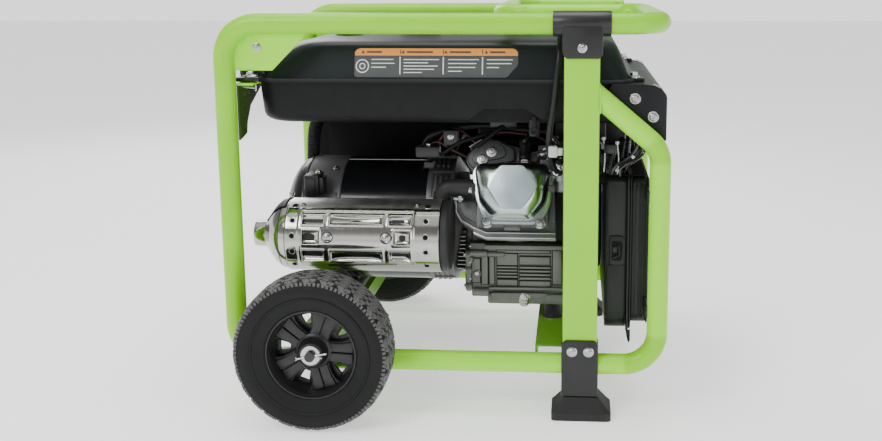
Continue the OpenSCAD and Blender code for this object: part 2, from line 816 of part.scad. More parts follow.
module tank_top() {
    color(black) {
        difference() {
            union() {
                tank_slice(flange_z, -8, -8, 3);
                bolt_ears(flange_z);
                hull() {
                    tank_slice(flange_z + 2, 0, 0);
                    tank_slice(flange_z + 46, 16, 12);
                    tank_slice(tank_top_z - 1, 42, 36);
                }
                translate([-70, 0, tank_top_z - 2]) cylinder(r = 27, h = 14);
                translate([189, -104, tank_top_z - 2]) cylinder(r = 9, h = 12);
                along_y(189, -122, tank_top_z + 17) cylinder(r = 5, h = 22);
                translate([189, -104, tank_top_z + 8]) cylinder(r = 5, h = 14);
            }
            hull() {
                tank_slice(flange_z - 1, 3, 3);
                tank_slice(flange_z + 45, 19, 15);
                tank_slice(tank_top_z - 4, 45, 39);
            }
            translate([-70, 0, tank_top_z - 8]) cylinder(r = 22, h = 30);
        }
        // Gauge on the left of the top
        translate([-190, -60, tank_top_z - 2]) cylinder(r = 24, h = 8);
    }
}

module tank_bottom() {
    color(black) {
        difference() {
            union() {
                tank_slice(flange_z - 3, -8, -8, 3);
                bolt_ears(flange_z - 3);
                hull() {
                    tank_slice(flange_z - 2, 0, 0);
                    tank_slice(500, 4, 3);
                    tank_slice(487, 14, 12);
                    tank_slice(480, 30, 28);
                }
            }
            difference() {
                hull() {
                    tank_slice(flange_z, 3, 3);
                    tank_slice(501, 7, 6);
                    tank_slice(489, 17, 15);
                    tank_slice(483, 33, 31);
                }
                block([52, -tank_y - 20, 470], [128, -160, 509]);
            }
            block([55, -tank_y - 20, 470], [125, -163, 506]);
        }
        // Fuel tap body
        translate([146, -190, 458]) cylinder(r = 9, h = 26);
        along_y(146, -205, 468) cylinder(r = 3, h = 10);
    }
}

module fuel_cap() {
    color(black) translate([-70, 0, tank_top_z + 2]) difference() {
        union() {
            cylinder(r = 36, h = 18);
            for (a = [0:30:330]) rotate([0, 0, a]) translate([34, -4, 0]) cube([4, 8, 17]);
        }
        translate([0, 0, -1]) cylinder(r = 27 + run_gap, h = 11.3);
    }
}

module vent_hose() { color(black) cord(vent_route, 5, 10); }

module fuel_valve() {
    color(black) along_y(146, -206, 468) difference() {
        union() {
            cylinder(r = 7, h = 6.6);
            block([-4, -3, 0], [4, 26, 5]);
        }
        translate([0, 0, -1]) cylinder(r = 3 + run_gap, h = 12);
    }
}

// ---------- electrical ----------

hood_xz = [[272, 549], [326, 549], [352, 542], [360, 530], [360, 458], [346, 458], [263, 531]];
hood_inner = [[275, 546], [326, 546], [350, 539], [357, 529], [357, 461], [347, 461], [268, 531]];
module panel_hood() {
    // Pivot pin of the breaker's rocker
    color(steel) along_y(351, -32, 497) cylinder(r = 3 - run_gap, h = 34);
    color(black) difference() {
        plate_xz(hood_xz, -hood_y, hood_y);
        plate_xz(hood_inner, -hood_y + 3, hood_y - 3);
        block([262, -hood_y + 3, 457], [352, hood_y - 3, 500]);
        block([255, -hood_y + 3, 500], [317, hood_y - 3, 546]);
        // Clear of the tank's wall
        block([255, -hood_y + 3, 545], [tank_x + 1.5, hood_y - 3, 550]);
        // Windows for the breaker and the key
        block([350, -31, 482], [362, 1, 512]);
        along_x(350, 90, 497) cylinder(r = 12 + run_gap, h = 12);
    }
}

module panel_box() {
    color(black) {
        difference() {
            union() {
                block([265, -215, 137], [301, 150, 395]);
                block([301, -222, 124], [309, 157, 398]);
                block([309, -215, 140], [334, 150, 392]);
            }
            block([268, -212, 140], [335, 147, 389]);
        }
        // Straps to the uprights
        for (z = [170, 360]) {
            block([330, -half_w - 4, z], [333, -214, z + 20]);
            block([330, 149, z], [333, half_w + 4, z + 20]);
        }
    }
}

module panel_face() {
    color([0.15, 0.15, 0.16]) difference() {
        block([334, -215, 140], [panel_front, 150, 392]);
        along_x(330, -20, 342) cylinder(r = 7.1 + run_gap, h = 10);
    }
}

module socket_outlets() {
    color(black) {
        // Two duplex outlets under the flaps and two round locking outlets below
        for (y = flap_ys) {
            block([panel_front, y, 276], [panel_front + 4, y + 76, 346]);
            for (h = [[-3, 12], [67, 12]]) difference() {
                block([panel_front, y + h[0], flap_z - 5], [panel_front + 10, y + h[0] + h[1], flap_z + 5]);
                along_y(panel_front + 6, y - 10, flap_z) cylinder(r = 2.0, h = 120);
            }
            along_y(panel_front + 6, y - 6, flap_z) cylinder(r = 2.0, h = 88);
        }
        for (y = [-110, 95]) {
            along_x(panel_front, y, 212) difference() {
                cylinder(r = 30, h = 7);
                translate([0, 0, 3]) cylinder(r = 23, h = 5);
            }
        }
    }
}

module outlet_flap(y) {
    difference() {
        union() {
            block([panel_front + 4.6, y - 4, 272], [panel_front + 7.6, y + 80, flap_z - 9]);
            block([panel_front + 4.6, y + 11, flap_z - 11], [panel_front + 7.6, y + 65, flap_z]);
            along_y(panel_front + 6, y + 11, flap_z) cylinder(r = 4.5, h = 54);
        }
        along_y(panel_front + 6, y - 10, flap_z) cylinder(r = 2.0 + run_gap, h = 120);
    }
}
module left_outlet_flap() { color(black) outlet_flap(flap_ys[0]); }
module right_outlet_flap() { color(black) outlet_flap(flap_ys[1]); }

module main_breaker() {
    color(black) translate([353, -15, 497]) difference() {
        union() {
            translate([-2, -12, 0]) rotate([-90, 0, 0]) cylinder(r = 9, h = 24);
            block([0, -12, -11], [9, 12, 11]);
        }
        translate([-2, -20, 0]) rotate([-90, 0, 0]) cylinder(r = 3, h = 40);
    }
}

module key_switch() {
    color(steel) along_x(346, 90, 497) {
        cylinder(r = 12, h = 16);
        translate([0, 0, 16]) linear_extrude(4) square([6, 18], center = true);
    }
}

module reset_button() {
    color("firebrick") along_x(331, -20, 342) cylinder(r = 7.1, h = 12);
}

module inverter_module() {
    color(black) {
        block([-299, 156, 320], [28, 236, 468]);
        for (x = [-290:15:20]) block([x, 150, 324], [x + 5, 156, 464]);
        for (x = [-250, -40]) difference() {
            union() {
                block([x, 236, 420], [x + 20, 240, 642]);
                block([x, 236, 636], [x + 20, 252, 642]);
            }
            rod_path(hoop_pts, hoop_bends, tube_r);
        }
    }
}

module battery() {
    color(black) {
        block([60, 162, xm_top + 3], [200, 236, 250]);
        for (y = [176, 222]) translate([190, y, 250]) cylinder(r = 6, h = 9);
    }
}

module wiring_loom() {
    color(black) {
        cord(conduit_route, 12, 12);
        cord(bundle_route, 7);
        cord([for (p = bundle_route) p + [2, 20, 2]], 6);
        cord(loom_route, 7);
        cord(stator_route, 5);
    }
}

frame_hoop();
lower_tubes();
frame_posts();
crossmembers();
corner_gussets();
tank_brackets();
post_brackets();
rubber_feet();
frame_bolts();
axle();
near_rim();
near_tyre();
far_rim();
far_tyre();
wheel_retainers();
tow_handle();
crankcase();
crankcase_cover();
cylinder_head();
valve_cover();
head_shroud();
crankshaft();
camshaft();
piston_and_rod();
flywheel();
fan_housing();
recoil_cover();
recoil_grip();
oil_plugs();
spark_plug();
plug_lead();
carburettor();
air_cleaner();
choke_lever();
exhaust_elbow();
muffler_body();
muffler_shield();
rubber_mounts();
starter_motor();
stator();
alternator_brackets();
end_cover();
rotor();
tank_top();
tank_bottom();
fuel_cap();
vent_hose();
fuel_valve();
panel_hood();
panel_box();
panel_face();
socket_outlets();
left_outlet_flap();
right_outlet_flap();
main_breaker();
key_switch();
reset_button();
inverter_module();
battery();
wiring_loom();
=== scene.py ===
from math import cos, pi, radians, sin, tan
import bmesh
import bpy
from mathutils import Matrix, Vector


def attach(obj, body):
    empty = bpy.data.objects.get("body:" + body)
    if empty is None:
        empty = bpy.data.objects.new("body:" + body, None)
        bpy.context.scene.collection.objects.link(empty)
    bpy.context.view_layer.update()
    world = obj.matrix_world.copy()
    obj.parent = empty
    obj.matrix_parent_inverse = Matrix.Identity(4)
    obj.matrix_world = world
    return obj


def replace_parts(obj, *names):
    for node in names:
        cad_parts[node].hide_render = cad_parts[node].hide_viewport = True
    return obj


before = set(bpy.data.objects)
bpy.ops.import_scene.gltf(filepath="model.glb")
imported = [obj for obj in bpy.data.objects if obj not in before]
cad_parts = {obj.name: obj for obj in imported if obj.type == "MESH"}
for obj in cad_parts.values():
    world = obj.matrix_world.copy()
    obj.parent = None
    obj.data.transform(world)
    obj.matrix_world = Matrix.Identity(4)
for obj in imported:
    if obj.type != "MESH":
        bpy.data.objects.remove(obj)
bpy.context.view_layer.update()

MM = 0.001
SIDES = (-1, 1)  # the near side, then the far side

# ---------- camera, floor and light ----------


def place_camera():
    """The photograph's viewing angle: low on the near side, a little right of the middle."""
    camera = bpy.data.objects.new("camera", bpy.data.cameras.new("camera"))
    bpy.context.collection.objects.link(camera)
    camera.location = (0.2145, -1.8620, 0.7234)
    camera.rotation_euler = (radians(90 - 9.60), radians(0.14), radians(3.62))
    camera.data.sensor_width = 36
    camera.data.lens = 41.51
    camera.data.shift_x = -0.08
    camera.data.shift_y = -0.085
    bpy.context.scene.camera = camera


def area_light(name, at, target, size, watts):
    """A soft rectangular light that points at its target."""
    lamp = bpy.data.lights.new(name, "AREA")
    lamp.shape, lamp.size, lamp.size_y = "RECTANGLE", size[0], size[1]
    lamp.energy = watts
    o = bpy.data.objects.new(name, lamp)
    o.location = at
    o.rotation_euler = (Vector(target) - Vector(at)).to_track_quat("-Z", "Y").to_euler()
    bpy.context.collection.objects.link(o)


def studio():
    """A pale paper floor, pale surroundings and four soft lights."""
    bm = bmesh.new()
    bmesh.ops.create_grid(bm, x_segments=2, y_segments=2, size=14)
    mesh = bpy.data.meshes.new("floor")
    bm.to_mesh(mesh)
    floor = bpy.data.objects.new("floor", mesh)
    bpy.context.collection.objects.link(floor)
    paper = finish("floor_paper", (0.86, 0.86, 0.86), 0.9, grain=0.01, speck=0.0, level=0.1)
    shader = paper.node_tree.nodes["Principled BSDF"]
    shader.inputs["Emission Color"].default_value = (1, 1, 1, 1)
    shader.inputs["Emission Strength"].default_value = 0.75
    mesh.materials.append(paper)
    sky_light()
    area_light("key", (-1.5, -2.2, 2.4), (0, 0, 0.35), (1.3, 1.3), 52)
    area_light("fill", (2.3, -2.3, 1.0), (0.1, 0, 0.3), (0.9, 1.6), 16)
    area_light("top", (0, 0.1, 2.6), (0, 0, 0), (2.0, 1.4), 40)
    area_light("rear", (-1.4, 2.3, 1.8), (0, 0, 0.3), (1.4, 1.4), 30)


def sky_light():
    """Pale surroundings at eye level and overhead, with a darker band between them."""
    world = bpy.data.worlds.new("studio")
    bpy.context.scene.world = world
    world.use_nodes = True
    tree = world.node_tree
    where = tree.nodes.new("ShaderNodeTexCoord")
    split = tree.nodes.new("ShaderNodeSeparateXYZ")
    ramp = tree.nodes.new("ShaderNodeValToRGB")
    tree.links.new(where.outputs["Generated"], split.inputs["Vector"])
    tree.links.new(split.outputs["Z"], ramp.inputs["Fac"])
    stops = ((0.0, 0.8), (0.1, 0.8), (0.2, 0.2), (0.6, 0.13), (0.85, 0.5), (1.0, 0.6))
    for k, (place, level) in enumerate(stops):
        e = ramp.color_ramp.elements
        stop = e[k] if k < 2 else e.new(place)
        stop.position, stop.color = place, (level, level, level, 1)
    background = tree.nodes["Background"]
    tree.links.new(ramp.outputs["Color"], background.inputs[0])
    background.inputs[1].default_value = 2.0


# ---------- finishes ----------

FINISHES = {}  # every finish by its name; the CAD nodes that stay take theirs from here


def finish(name, colour, rough, metal=0.0, grain=0.12, speck=0.02, scale=40, fine=900, coat=0.0, wear_and_highlight=None,
           level=0.5):
    """A procedural finish: mottled colour, uneven gloss, a fine surface and paler edges, partly wear and
    partly painted highlight.
    """
    mat = bpy.data.materials.new(name)
    mat.use_nodes = True
    tree = mat.node_tree
    add, link = tree.nodes.new, tree.links.new
    bsdf = tree.nodes["Principled BSDF"]
    bsdf.inputs["Metallic"].default_value = metal
    bsdf.inputs["Coat Weight"].default_value = coat
    bsdf.inputs["Coat Roughness"].default_value = 0.08
    bsdf.inputs["Specular IOR Level"].default_value = level
    where = add("ShaderNodeTexCoord")
    broad, close = add("ShaderNodeTexNoise"), add("ShaderNodeTexNoise")
    for node, size, detail in ((broad, scale, 4), (close, fine, 2)):
        node.inputs["Scale"].default_value = size
        node.inputs["Detail"].default_value = detail
        link(where.outputs["Object"], node.inputs["Vector"])
    ramp = add("ShaderNodeValToRGB")
    dark = [c * (1 - grain) for c in colour] + [1]
    pale = [min(1, c * (1 + grain) + grain * 0.01) for c in colour] + [1]
    ramp.color_ramp.elements[0].position, ramp.color_ramp.elements[0].color = 0.3, dark
    ramp.color_ramp.elements[1].position, ramp.color_ramp.elements[1].color = 0.7, pale
    link(broad.outputs["Fac"], ramp.inputs["Fac"])
    # Edges found by pointiness take a paler colour: partly wear, partly painted highlight
    edge = add("ShaderNodeValToRGB")
    edge.color_ramp.elements[0].position, edge.color_ramp.elements[1].position = 0.52, 0.62
    link(add("ShaderNodeNewGeometry").outputs["Pointiness"], edge.inputs["Fac"])
    mix = add("ShaderNodeMix")
    mix.data_type = "RGBA"
    worn_and_lit_edge = wear_and_highlight or [min(1, c * 1.25 + 0.01) for c in colour]
    link(edge.outputs["Color"], mix.inputs["Factor"])
    link(ramp.outputs["Color"], mix.inputs["A"])
    mix.inputs["B"].default_value = (*worn_and_lit_edge, 1)
    link(mix.outputs["Result"], bsdf.inputs["Base Color"])
    gloss = add("ShaderNodeMapRange")
    gloss.inputs["To Min"].default_value = max(0.02, rough - 0.06)
    gloss.inputs["To Max"].default_value = min(1, rough + 0.08)
    link(broad.outputs["Fac"], gloss.inputs["Value"])
    link(gloss.outputs["Result"], bsdf.inputs["Roughness"])
    bump = add("ShaderNodeBump")
    bump.inputs["Strength"].default_value = speck * 10
    bump.inputs["Distance"].default_value = 0.0004
    link(close.outputs["Fac"], bump.inputs["Height"])
    link(bump.outputs["Normal"], bsdf.inputs["Normal"])
    FINISHES[name] = mat
    return mat


LIME = finish("lime_paint", (0.255, 0.64, 0.010), 0.3, grain=0.05, coat=0.12, scale=12, level=0.2)
BLACK = finish("black_paint", (0.010, 0.010, 0.011), 0.36, coat=0.15, speck=0.03, level=0.3)
finish("dark_casting", (0.035, 0.035, 0.037), 0.5, metal=0.3, speck=0.06, fine=600)
CAST = finish("bare_casting", (0.30, 0.31, 0.32), 0.42, metal=0.8, speck=0.05, fine=500)
STEEL = finish("bright_steel", (0.38, 0.38, 0.39), 0.2, metal=1, grain=0.06)
# Pale satin steel for bolts, and for pale strips that paint highlights on the head shroud's edges and a
# bright reflection on the muffler shield's top
SATIN_AND_SHEEN = finish("satin_steel_and_sheen", (0.82, 0.81, 0.78), 0.34, metal=1, speck=0.03, level=0.12)
POLISHED = finish("polished_steel", (0.42, 0.415, 0.39), 0.11, metal=1, grain=0.04, speck=0.006)
PLASTIC = finish("black_plastic", (0.0055, 0.0055, 0.006), 0.44, speck=0.04, fine=1400, level=0.2)
RUBBER = finish("rubber", (0.014, 0.014, 0.014), 0.62, speck=0.05, level=0.3)
TYRE = finish("tyre", (0.0075, 0.008, 0.0078), 0.6, speck=0.06, level=0.2)
finish("copper_iron", (0.40, 0.17, 0.08), 0.4, metal=0.8)
finish("iron", (0.12, 0.12, 0.12), 0.5, metal=0.8, speck=0.05)
CERAMIC = finish("ceramic", (0.8, 0.79, 0.75), 0.25, grain=0.03)
RED = finish("red_plastic", (0.42, 0.02, 0.015), 0.35)
HOT_BLACK = finish("heat_proof_black", (0.014, 0.014, 0.015), 0.45, speck=0.06, level=0.3)
# Near-black for holes, recesses and creases: painted shade where nothing is cut away
RECESS_SHADE = finish("painted_recess_shade", (0.006, 0.006, 0.006), 0.8, level=0.1)
VALVE = finish("bright_pressing", (0.44, 0.48, 0.49), 0.2, metal=1, grain=0.04, speck=0.015)
VALVE_PAD = finish("brushed_pad", (0.46, 0.56, 0.6), 0.4, metal=0.85, grain=0.08, speck=0.04)
SHROUD = finish("grey_casting", (0.115, 0.118, 0.12), 0.48, metal=0.3, speck=0.07, fine=600)
CASE = finish("crankcase_casting", (0.14, 0.144, 0.133), 0.46, metal=0.45, speck=0.08, fine=500)
DARK_METAL = finish("dark_metal", (0.03, 0.03, 0.031), 0.4, metal=0.6, speck=0.03)
FIN = finish("pale_fins", (0.2, 0.2, 0.2), 0.4, metal=0.8)
TANK_GLOSS = finish("tank_upper", (0.009, 0.0125, 0.0135), 0.36, speck=0.012, level=0.22, scale=8)
TANK_MATT = finish("tank_lower", (0.0055, 0.0058, 0.0064), 0.46, speck=0.03, level=0.16)
LABEL_GREY = finish("label_grey", (0.045, 0.047, 0.05), 0.35, speck=0.005)
LABEL_ORANGE = finish("label_orange", (0.62, 0.22, 0.03), 0.35, grain=0.03, speck=0.005)
LABEL_WHITE = finish("label_white", (0.62, 0.62, 0.6), 0.35, grain=0.03, speck=0.005)
LABEL_DARK = finish("label_dark", (0.05, 0.03, 0.02), 0.35, speck=0.005)
# The tread's pale edge colour paints the highlights along its blocks' edges
TREAD = finish("tyre_tread", (0.013, 0.0135, 0.0135), 0.5, speck=0.05, level=0.35, wear_and_highlight=(0.10, 0.10, 0.10))
RIM_BLACK = finish("rim_plastic", (0.011, 0.011, 0.0115), 0.36, speck=0.03, level=0.4)
STATOR = finish("stator_lacquer", (0.004, 0.0045, 0.006), 0.22, coat=0.3, speck=0.01, level=0.3)
BRACKET = finish("bracket_casting", (0.15, 0.15, 0.152), 0.42, metal=0.5, speck=0.05, fine=700)
DOME = finish("dome_plastic", (0.006, 0.006, 0.0065), 0.28, coat=0.25, speck=0.02, level=0.3)
CABLE = finish("cable_sleeve", (0.007, 0.007, 0.0075), 0.5, speck=0.03, level=0.25)
CABLE_GLOSS = finish("glossy_conduit", (0.012, 0.012, 0.013), 0.2, coat=0.6, speck=0.01, level=0.5)
RUBBER_GLOSS = finish("smooth_rubber", (0.009, 0.009, 0.01), 0.34, speck=0.02, level=0.3)
WIRE_RED = finish("wire_red", (0.05, 0.004, 0.004), 0.4, speck=0.01)
WIRE_BROWN = finish("wire_brown", (0.05, 0.02, 0.01), 0.4, speck=0.01)
CONNECTOR = finish("pale_connector", (0.5, 0.52, 0.53), 0.4, grain=0.05, speck=0.01)
PANEL = finish("panel_moulding", (0.0075, 0.0085, 0.0085), 0.34, speck=0.03, level=0.3)
HOOD = finish("hood_paint", (0.0075, 0.008, 0.0095), 0.42, speck=0.02, level=0.2)
# Dimmed lime for the crossmembers: painted shade on the frame's paint
LIME_HALF_SHADE = finish("lime_painted_half_shade", (0.11, 0.27, 0.006), 0.36, grain=0.05, scale=12, level=0.2)
# Dark lime for the tank hanger plates: painted shadow on the frame's paint
LIME_IN_SHADOW = finish("lime_painted_shadow", (0.028, 0.06, 0.006), 0.45, grain=0.08, scale=12, level=0.2)
# Darker than the black plastic: painted shadow on the module under the tank
MODULE_IN_SHADOW = finish("module_painted_shadow", (0.003, 0.003, 0.0035), 0.65, speck=0.03, level=0.08)
HOOD_EDGE = finish("hood_pale_edge", (0.35, 0.37, 0.4), 0.3, speck=0.01)

# ---------- mesh tools, in millimetres ----------


def unit(v):
    return Vector(v).normalized()


def toward(at, direction):
    """A placement whose local Z runs along direction from at, with local Y upward where it can be."""
    z = unit(direction)
    y = Vector((0, 0, 1) if abs(z.z) < 0.9 else (0, 1, 0))
    x = unit(y.cross(z))
    m = Matrix((x, z.cross(x), z)).transposed().to_4x4()
    m.translation = Vector(at)
    return m


def shift(x, y, z):
    """A placement moved without turning."""
    return Matrix.Translation((x, y, z))


def turned(angle, axis):
    """A placement turned about an axis by an angle in degrees."""
    return Matrix.Rotation(radians(angle), 4, axis)


def end(x, y=0, z=0):
    """Placement for outlines drawn in Y and Z that grow toward +X."""
    return toward((x, y, z), (1, 0, 0))


def front(y):
    """Placement for outlines drawn in X and Z that grow toward the near side."""
    return toward((0, y, 0), (0, -1, 0))


def flank(side, y):
    """Placement on the near (-1) or far (1) face; outlines are drawn in X and Z by flipped()."""
    return toward((0, side * y, 0), (0, side, 0))


def flipped(outline, side):
    """An outline's X signs set so that flank() shows it the same way round on either side."""
    return [(x * -side, z) for x, z in outline]


SHAFT_Z = 270  # height of the crankshaft's and rotor's axis
TILT = shift(109, 0, SHAFT_Z) @ turned(65, "X")  # the cylinder leans toward the near side
LEAN = TILT.to_3x3() @ Vector((0, 0, 1))


def rounded(points, bends):
    """The points of a path with round bends; a bend is its centre-line radius."""
    pts = [Vector(p) for p in points]
    out = [pts[0]]
    for i in range(1, len(pts) - 1):
        u, v, r = unit(pts[i] - pts[i - 1]), unit(pts[i + 1] - pts[i]), bends[i]
        turn = u.angle(v)
        n = unit(v - u * u.dot(v))
        c = pts[i] - u * r * tan(turn / 2) + n * r
        steps = max(2, int(turn * 180 / pi / 9) + 1)
        for k in range(steps + 1):
            a = turn * k / steps
            out.append(c - n * r * cos(a) + u * r * sin(a))
    return out + [pts[-1]]


def smooth_path(points, step):
    """Catmull-Rom points through the given ones, about step apart."""
    p = [Vector(q) for q in points]
    p = [p[0] * 2 - p[1]] + p + [p[-1] * 2 - p[-2]]
    out = []
    for i in range(1, len(p) - 2):
        n = max(1, int((p[i + 1] - p[i]).length / step))
        for k in range(n):
            t = k / n
            out.append(0.5 * (2 * p[i] + (p[i + 1] - p[i - 1]) * t
                              + (2 * p[i - 1] - 5 * p[i] + 4 * p[i + 1] - p[i + 2]) * t * t
                              + (3 * p[i] - p[i - 1] - 3 * p[i + 1] + p[i + 2]) * t ** 3))
    return out + [p[-2]]


def corners(outline, r, steps=4):
    """A flat outline with its corners rounded."""
    n, out = len(outline), []
    for i in range(n):
        a, b, c = (Vector(outline[j % n]) for j in (i - 1, i, i + 1))
        u, v = (a - b).normalized(), (c - b).normalized()
        d = min(r, (a - b).length * 0.45, (c - b).length * 0.45)
        for k in range(steps + 1):
            t = k / steps
            out.append(tuple(b + u * d * (1 - t) ** 2 + v * d * t * t))
    return out


def quads(rows, n):
    """The faces between rows of n points, each row closed on itself."""
    return [[i * n + k, i * n + (k + 1) % n, (i + 1) * n + (k + 1) % n, (i + 1) * n + k]
            for i in range(rows - 1) for k in range(n)]


def rect(x0, x1, y0, y1, r=0, steps=4):
    """A rectangle's outline, with rounded corners where r is given."""
    outline = [(x0, y0), (x1, y0), (x1, y1), (x0, y1)]
    return corners(outline, r, steps) if r else outline


class Piece:
    """Gathers the parts of one piece; each part takes the finish number last set by on()."""

    def __init__(self, *finishes):
        self.bm, self.finishes, self.m = bmesh.new(), finishes, 0

    def on(self, m):
        self.m = m
        return self

    def add(self, verts, faces, at=None):
        at = at or Matrix.Identity(4)
        made = [self.bm.verts.new(at @ Vector(v)) for v in verts]
        for f in faces:
            try:
                self.bm.faces.new([made[i] for i in f]).material_index = self.m
            except ValueError:
                pass
        return self

    def take(self, other, at):
        """Adds a loose bmesh's faces and frees it."""
        other.verts.index_update()
        self.add([v.co.copy() for v in other.verts], [[v.index for v in f.verts] for f in other.faces], at)
        other.free()
        return self

    def block(self, lo, hi, r=1.0, at=None, seg=2):
        """A box between two corners, in any order, with rounded edges."""
        b = bmesh.new()
        lo, hi = zip(*(sorted(pair) for pair in zip(lo, hi)))
        size = [hi[i] - lo[i] for i in range(3)]
        bmesh.ops.create_cube(b, size=1)
        for v in b.verts:
            v.co = Vector([lo[i] + (v.co[i] + 0.5) * size[i] for i in range(3)])
        r = min(r, min(size) * 0.45)
        if r > 0:
            bmesh.ops.bevel(b, geom=b.edges[:], offset=r, segments=seg, profile=0.5, affect="EDGES")
        return self.take(b, at)

    def blocks(self, *rows):
        for row in rows:
            self.block(*row)
        return self

    def plate(self, outline, z0, z1, r, at=None):
        """A flat outline in X and Y, from z0 to z1, with rounded rims."""
        b = bmesh.new()
        ring = [b.verts.new((p[0], p[1], z0)) for p in outline]
        face = b.faces.new(ring)
        top = bmesh.ops.extrude_face_region(b, geom=[face])
        for v in top["geom"]:
            if isinstance(v, bmesh.types.BMVert):
                v.co.z = z1
        bmesh.ops.recalc_face_normals(b, faces=b.faces[:])
        if r > 0:
            rims = [e for e in b.edges if abs(e.verts[0].co.z - e.verts[1].co.z) < 1e-6]
            bmesh.ops.bevel(b, geom=rims, offset=min(r, abs(z1 - z0) * 0.45), segments=2, profile=0.5,
                            affect="EDGES")
        return self.take(b, at)

    def lathe(self, profile, at, n=48, start=0.0, turn=360.0):
        """Turns [z, radius] points about the placement's Z."""
        full = turn > 359.9
        cols = n if full else n + 1
        verts, rows = [], []
        for z, r in profile:
            if r < 1e-6:
                rows.append([len(verts)] * cols)
                verts.append((0, 0, z))
            else:
                rows.append(list(range(len(verts), len(verts) + cols)))
                for k in range(cols):
                    a = radians(start + turn * k / n)
                    verts.append((r * cos(a), r * sin(a), z))
        faces = []
        for a, b in zip(rows, rows[1:]):
            for k in range(n):
                j = (k + 1) % cols
                f = [a[k], a[j], b[j], b[k]]
                f = [v for i, v in enumerate(f) if v not in f[:i]]
                if len(f) > 2:
                    faces.append(f)
        return self.add(verts, faces, at)

    def solid(self, profile, at, n=48):
        """A lathe turned from a profile that is closed to the axis at both ends."""
        return self.lathe([(profile[0][0], 0), *profile, (profile[-1][0], 0)], at, n)

    def cable(self, points, step, r, n):
        """A round bar along a smooth path."""
        return self.tube(smooth_path(points, step), r, n)

    def tube(self, points, r, n):
        """A round bar along points; r is one radius or one for each point."""
        pts = [Vector(p) for p in points]
        radii = r if isinstance(r, (list, tuple)) else [r] * len(pts)
        tangent = [unit(pts[min(i + 1, len(pts) - 1)] - pts[max(i - 1, 0)]) for i in range(len(pts))]
        side = unit(tangent[0].orthogonal())
        verts = []
        for i, p in enumerate(pts):
            side = unit(side - tangent[i] * side.dot(tangent[i]))
            up = tangent[i].cross(side)
            verts += [p + radii[i] * (side * cos(2 * pi * k / n) + up * sin(2 * pi * k / n))
                      for k in range(n)]
        caps = [list(range(n))[::-1], [(len(pts) - 1) * n + k for k in range(n)]]
        return self.add(verts, quads(len(pts), n) + caps)

    def hexagon(self, r, z0, z1, at, turn=0.0):
        """A bolt's or nut's hexagon with its chamfered top."""
        ring = [(r * cos(radians(60 * k + turn)), r * sin(radians(60 * k + turn))) for k in range(6)]
        verts = [(x, y, z0) for x, y in ring] + [(x, y, z1 - 0.12 * r) for x, y in ring]
        verts += [(x * 0.86, y * 0.86, z1) for x, y in ring]
        faces = [list(range(6))[::-1], list(range(12, 18))]
        for k in range(6):
            j = (k + 1) % 6
            faces += [[k, j, j + 6, k + 6], [k + 6, j + 6, j + 12, k + 12]]
        return self.add(verts, faces, at)

    def bolt(self, at, direction, r, h, flange=1.35, turn=12.0):
        """A flanged hexagon bolt head: r is the hexagon's radius."""
        place = toward(at, direction)
        self.solid([(0, r * flange), (h * 0.18, r * flange), (h * 0.34, r * 1.02)], place, 24)
        self.hexagon(r, h * 0.3, h, place, turn)
        return self.lathe([(h, r * 0.62), (h + 0.3, r * 0.5), (h + 0.35, 0)], place, 16)

    def done(self, name, slot=None, *nodes, body="frame", smooth=32, weld=0.0):
        """Makes the object in metres, on its body, in place of the CAD nodes it stands for."""
        if weld:
            bmesh.ops.remove_doubles(self.bm, verts=self.bm.verts[:], dist=weld)
        bmesh.ops.recalc_face_normals(self.bm, faces=self.bm.faces[:])
        bmesh.ops.scale(self.bm, vec=(MM, MM, MM), verts=self.bm.verts[:])
        mesh = bpy.data.meshes.new(name)
        self.bm.to_mesh(mesh)
        self.bm.free()
        for m in self.finishes:
            mesh.materials.append(m)
        mesh.polygons.foreach_set("use_smooth", [True] * len(mesh.polygons))
        mesh.set_sharp_from_angle(angle=radians(smooth))
        o = bpy.data.objects.new(name, mesh)
        bpy.context.collection.objects.link(o)
        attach(o, body)
        if nodes:
            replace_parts(o, *nodes)
        return o


# ---------- muffler ----------

SHEEN_FROM = 337  # height above which the shield turns pale satin: a rougher finish and a painted bright reflection on its top
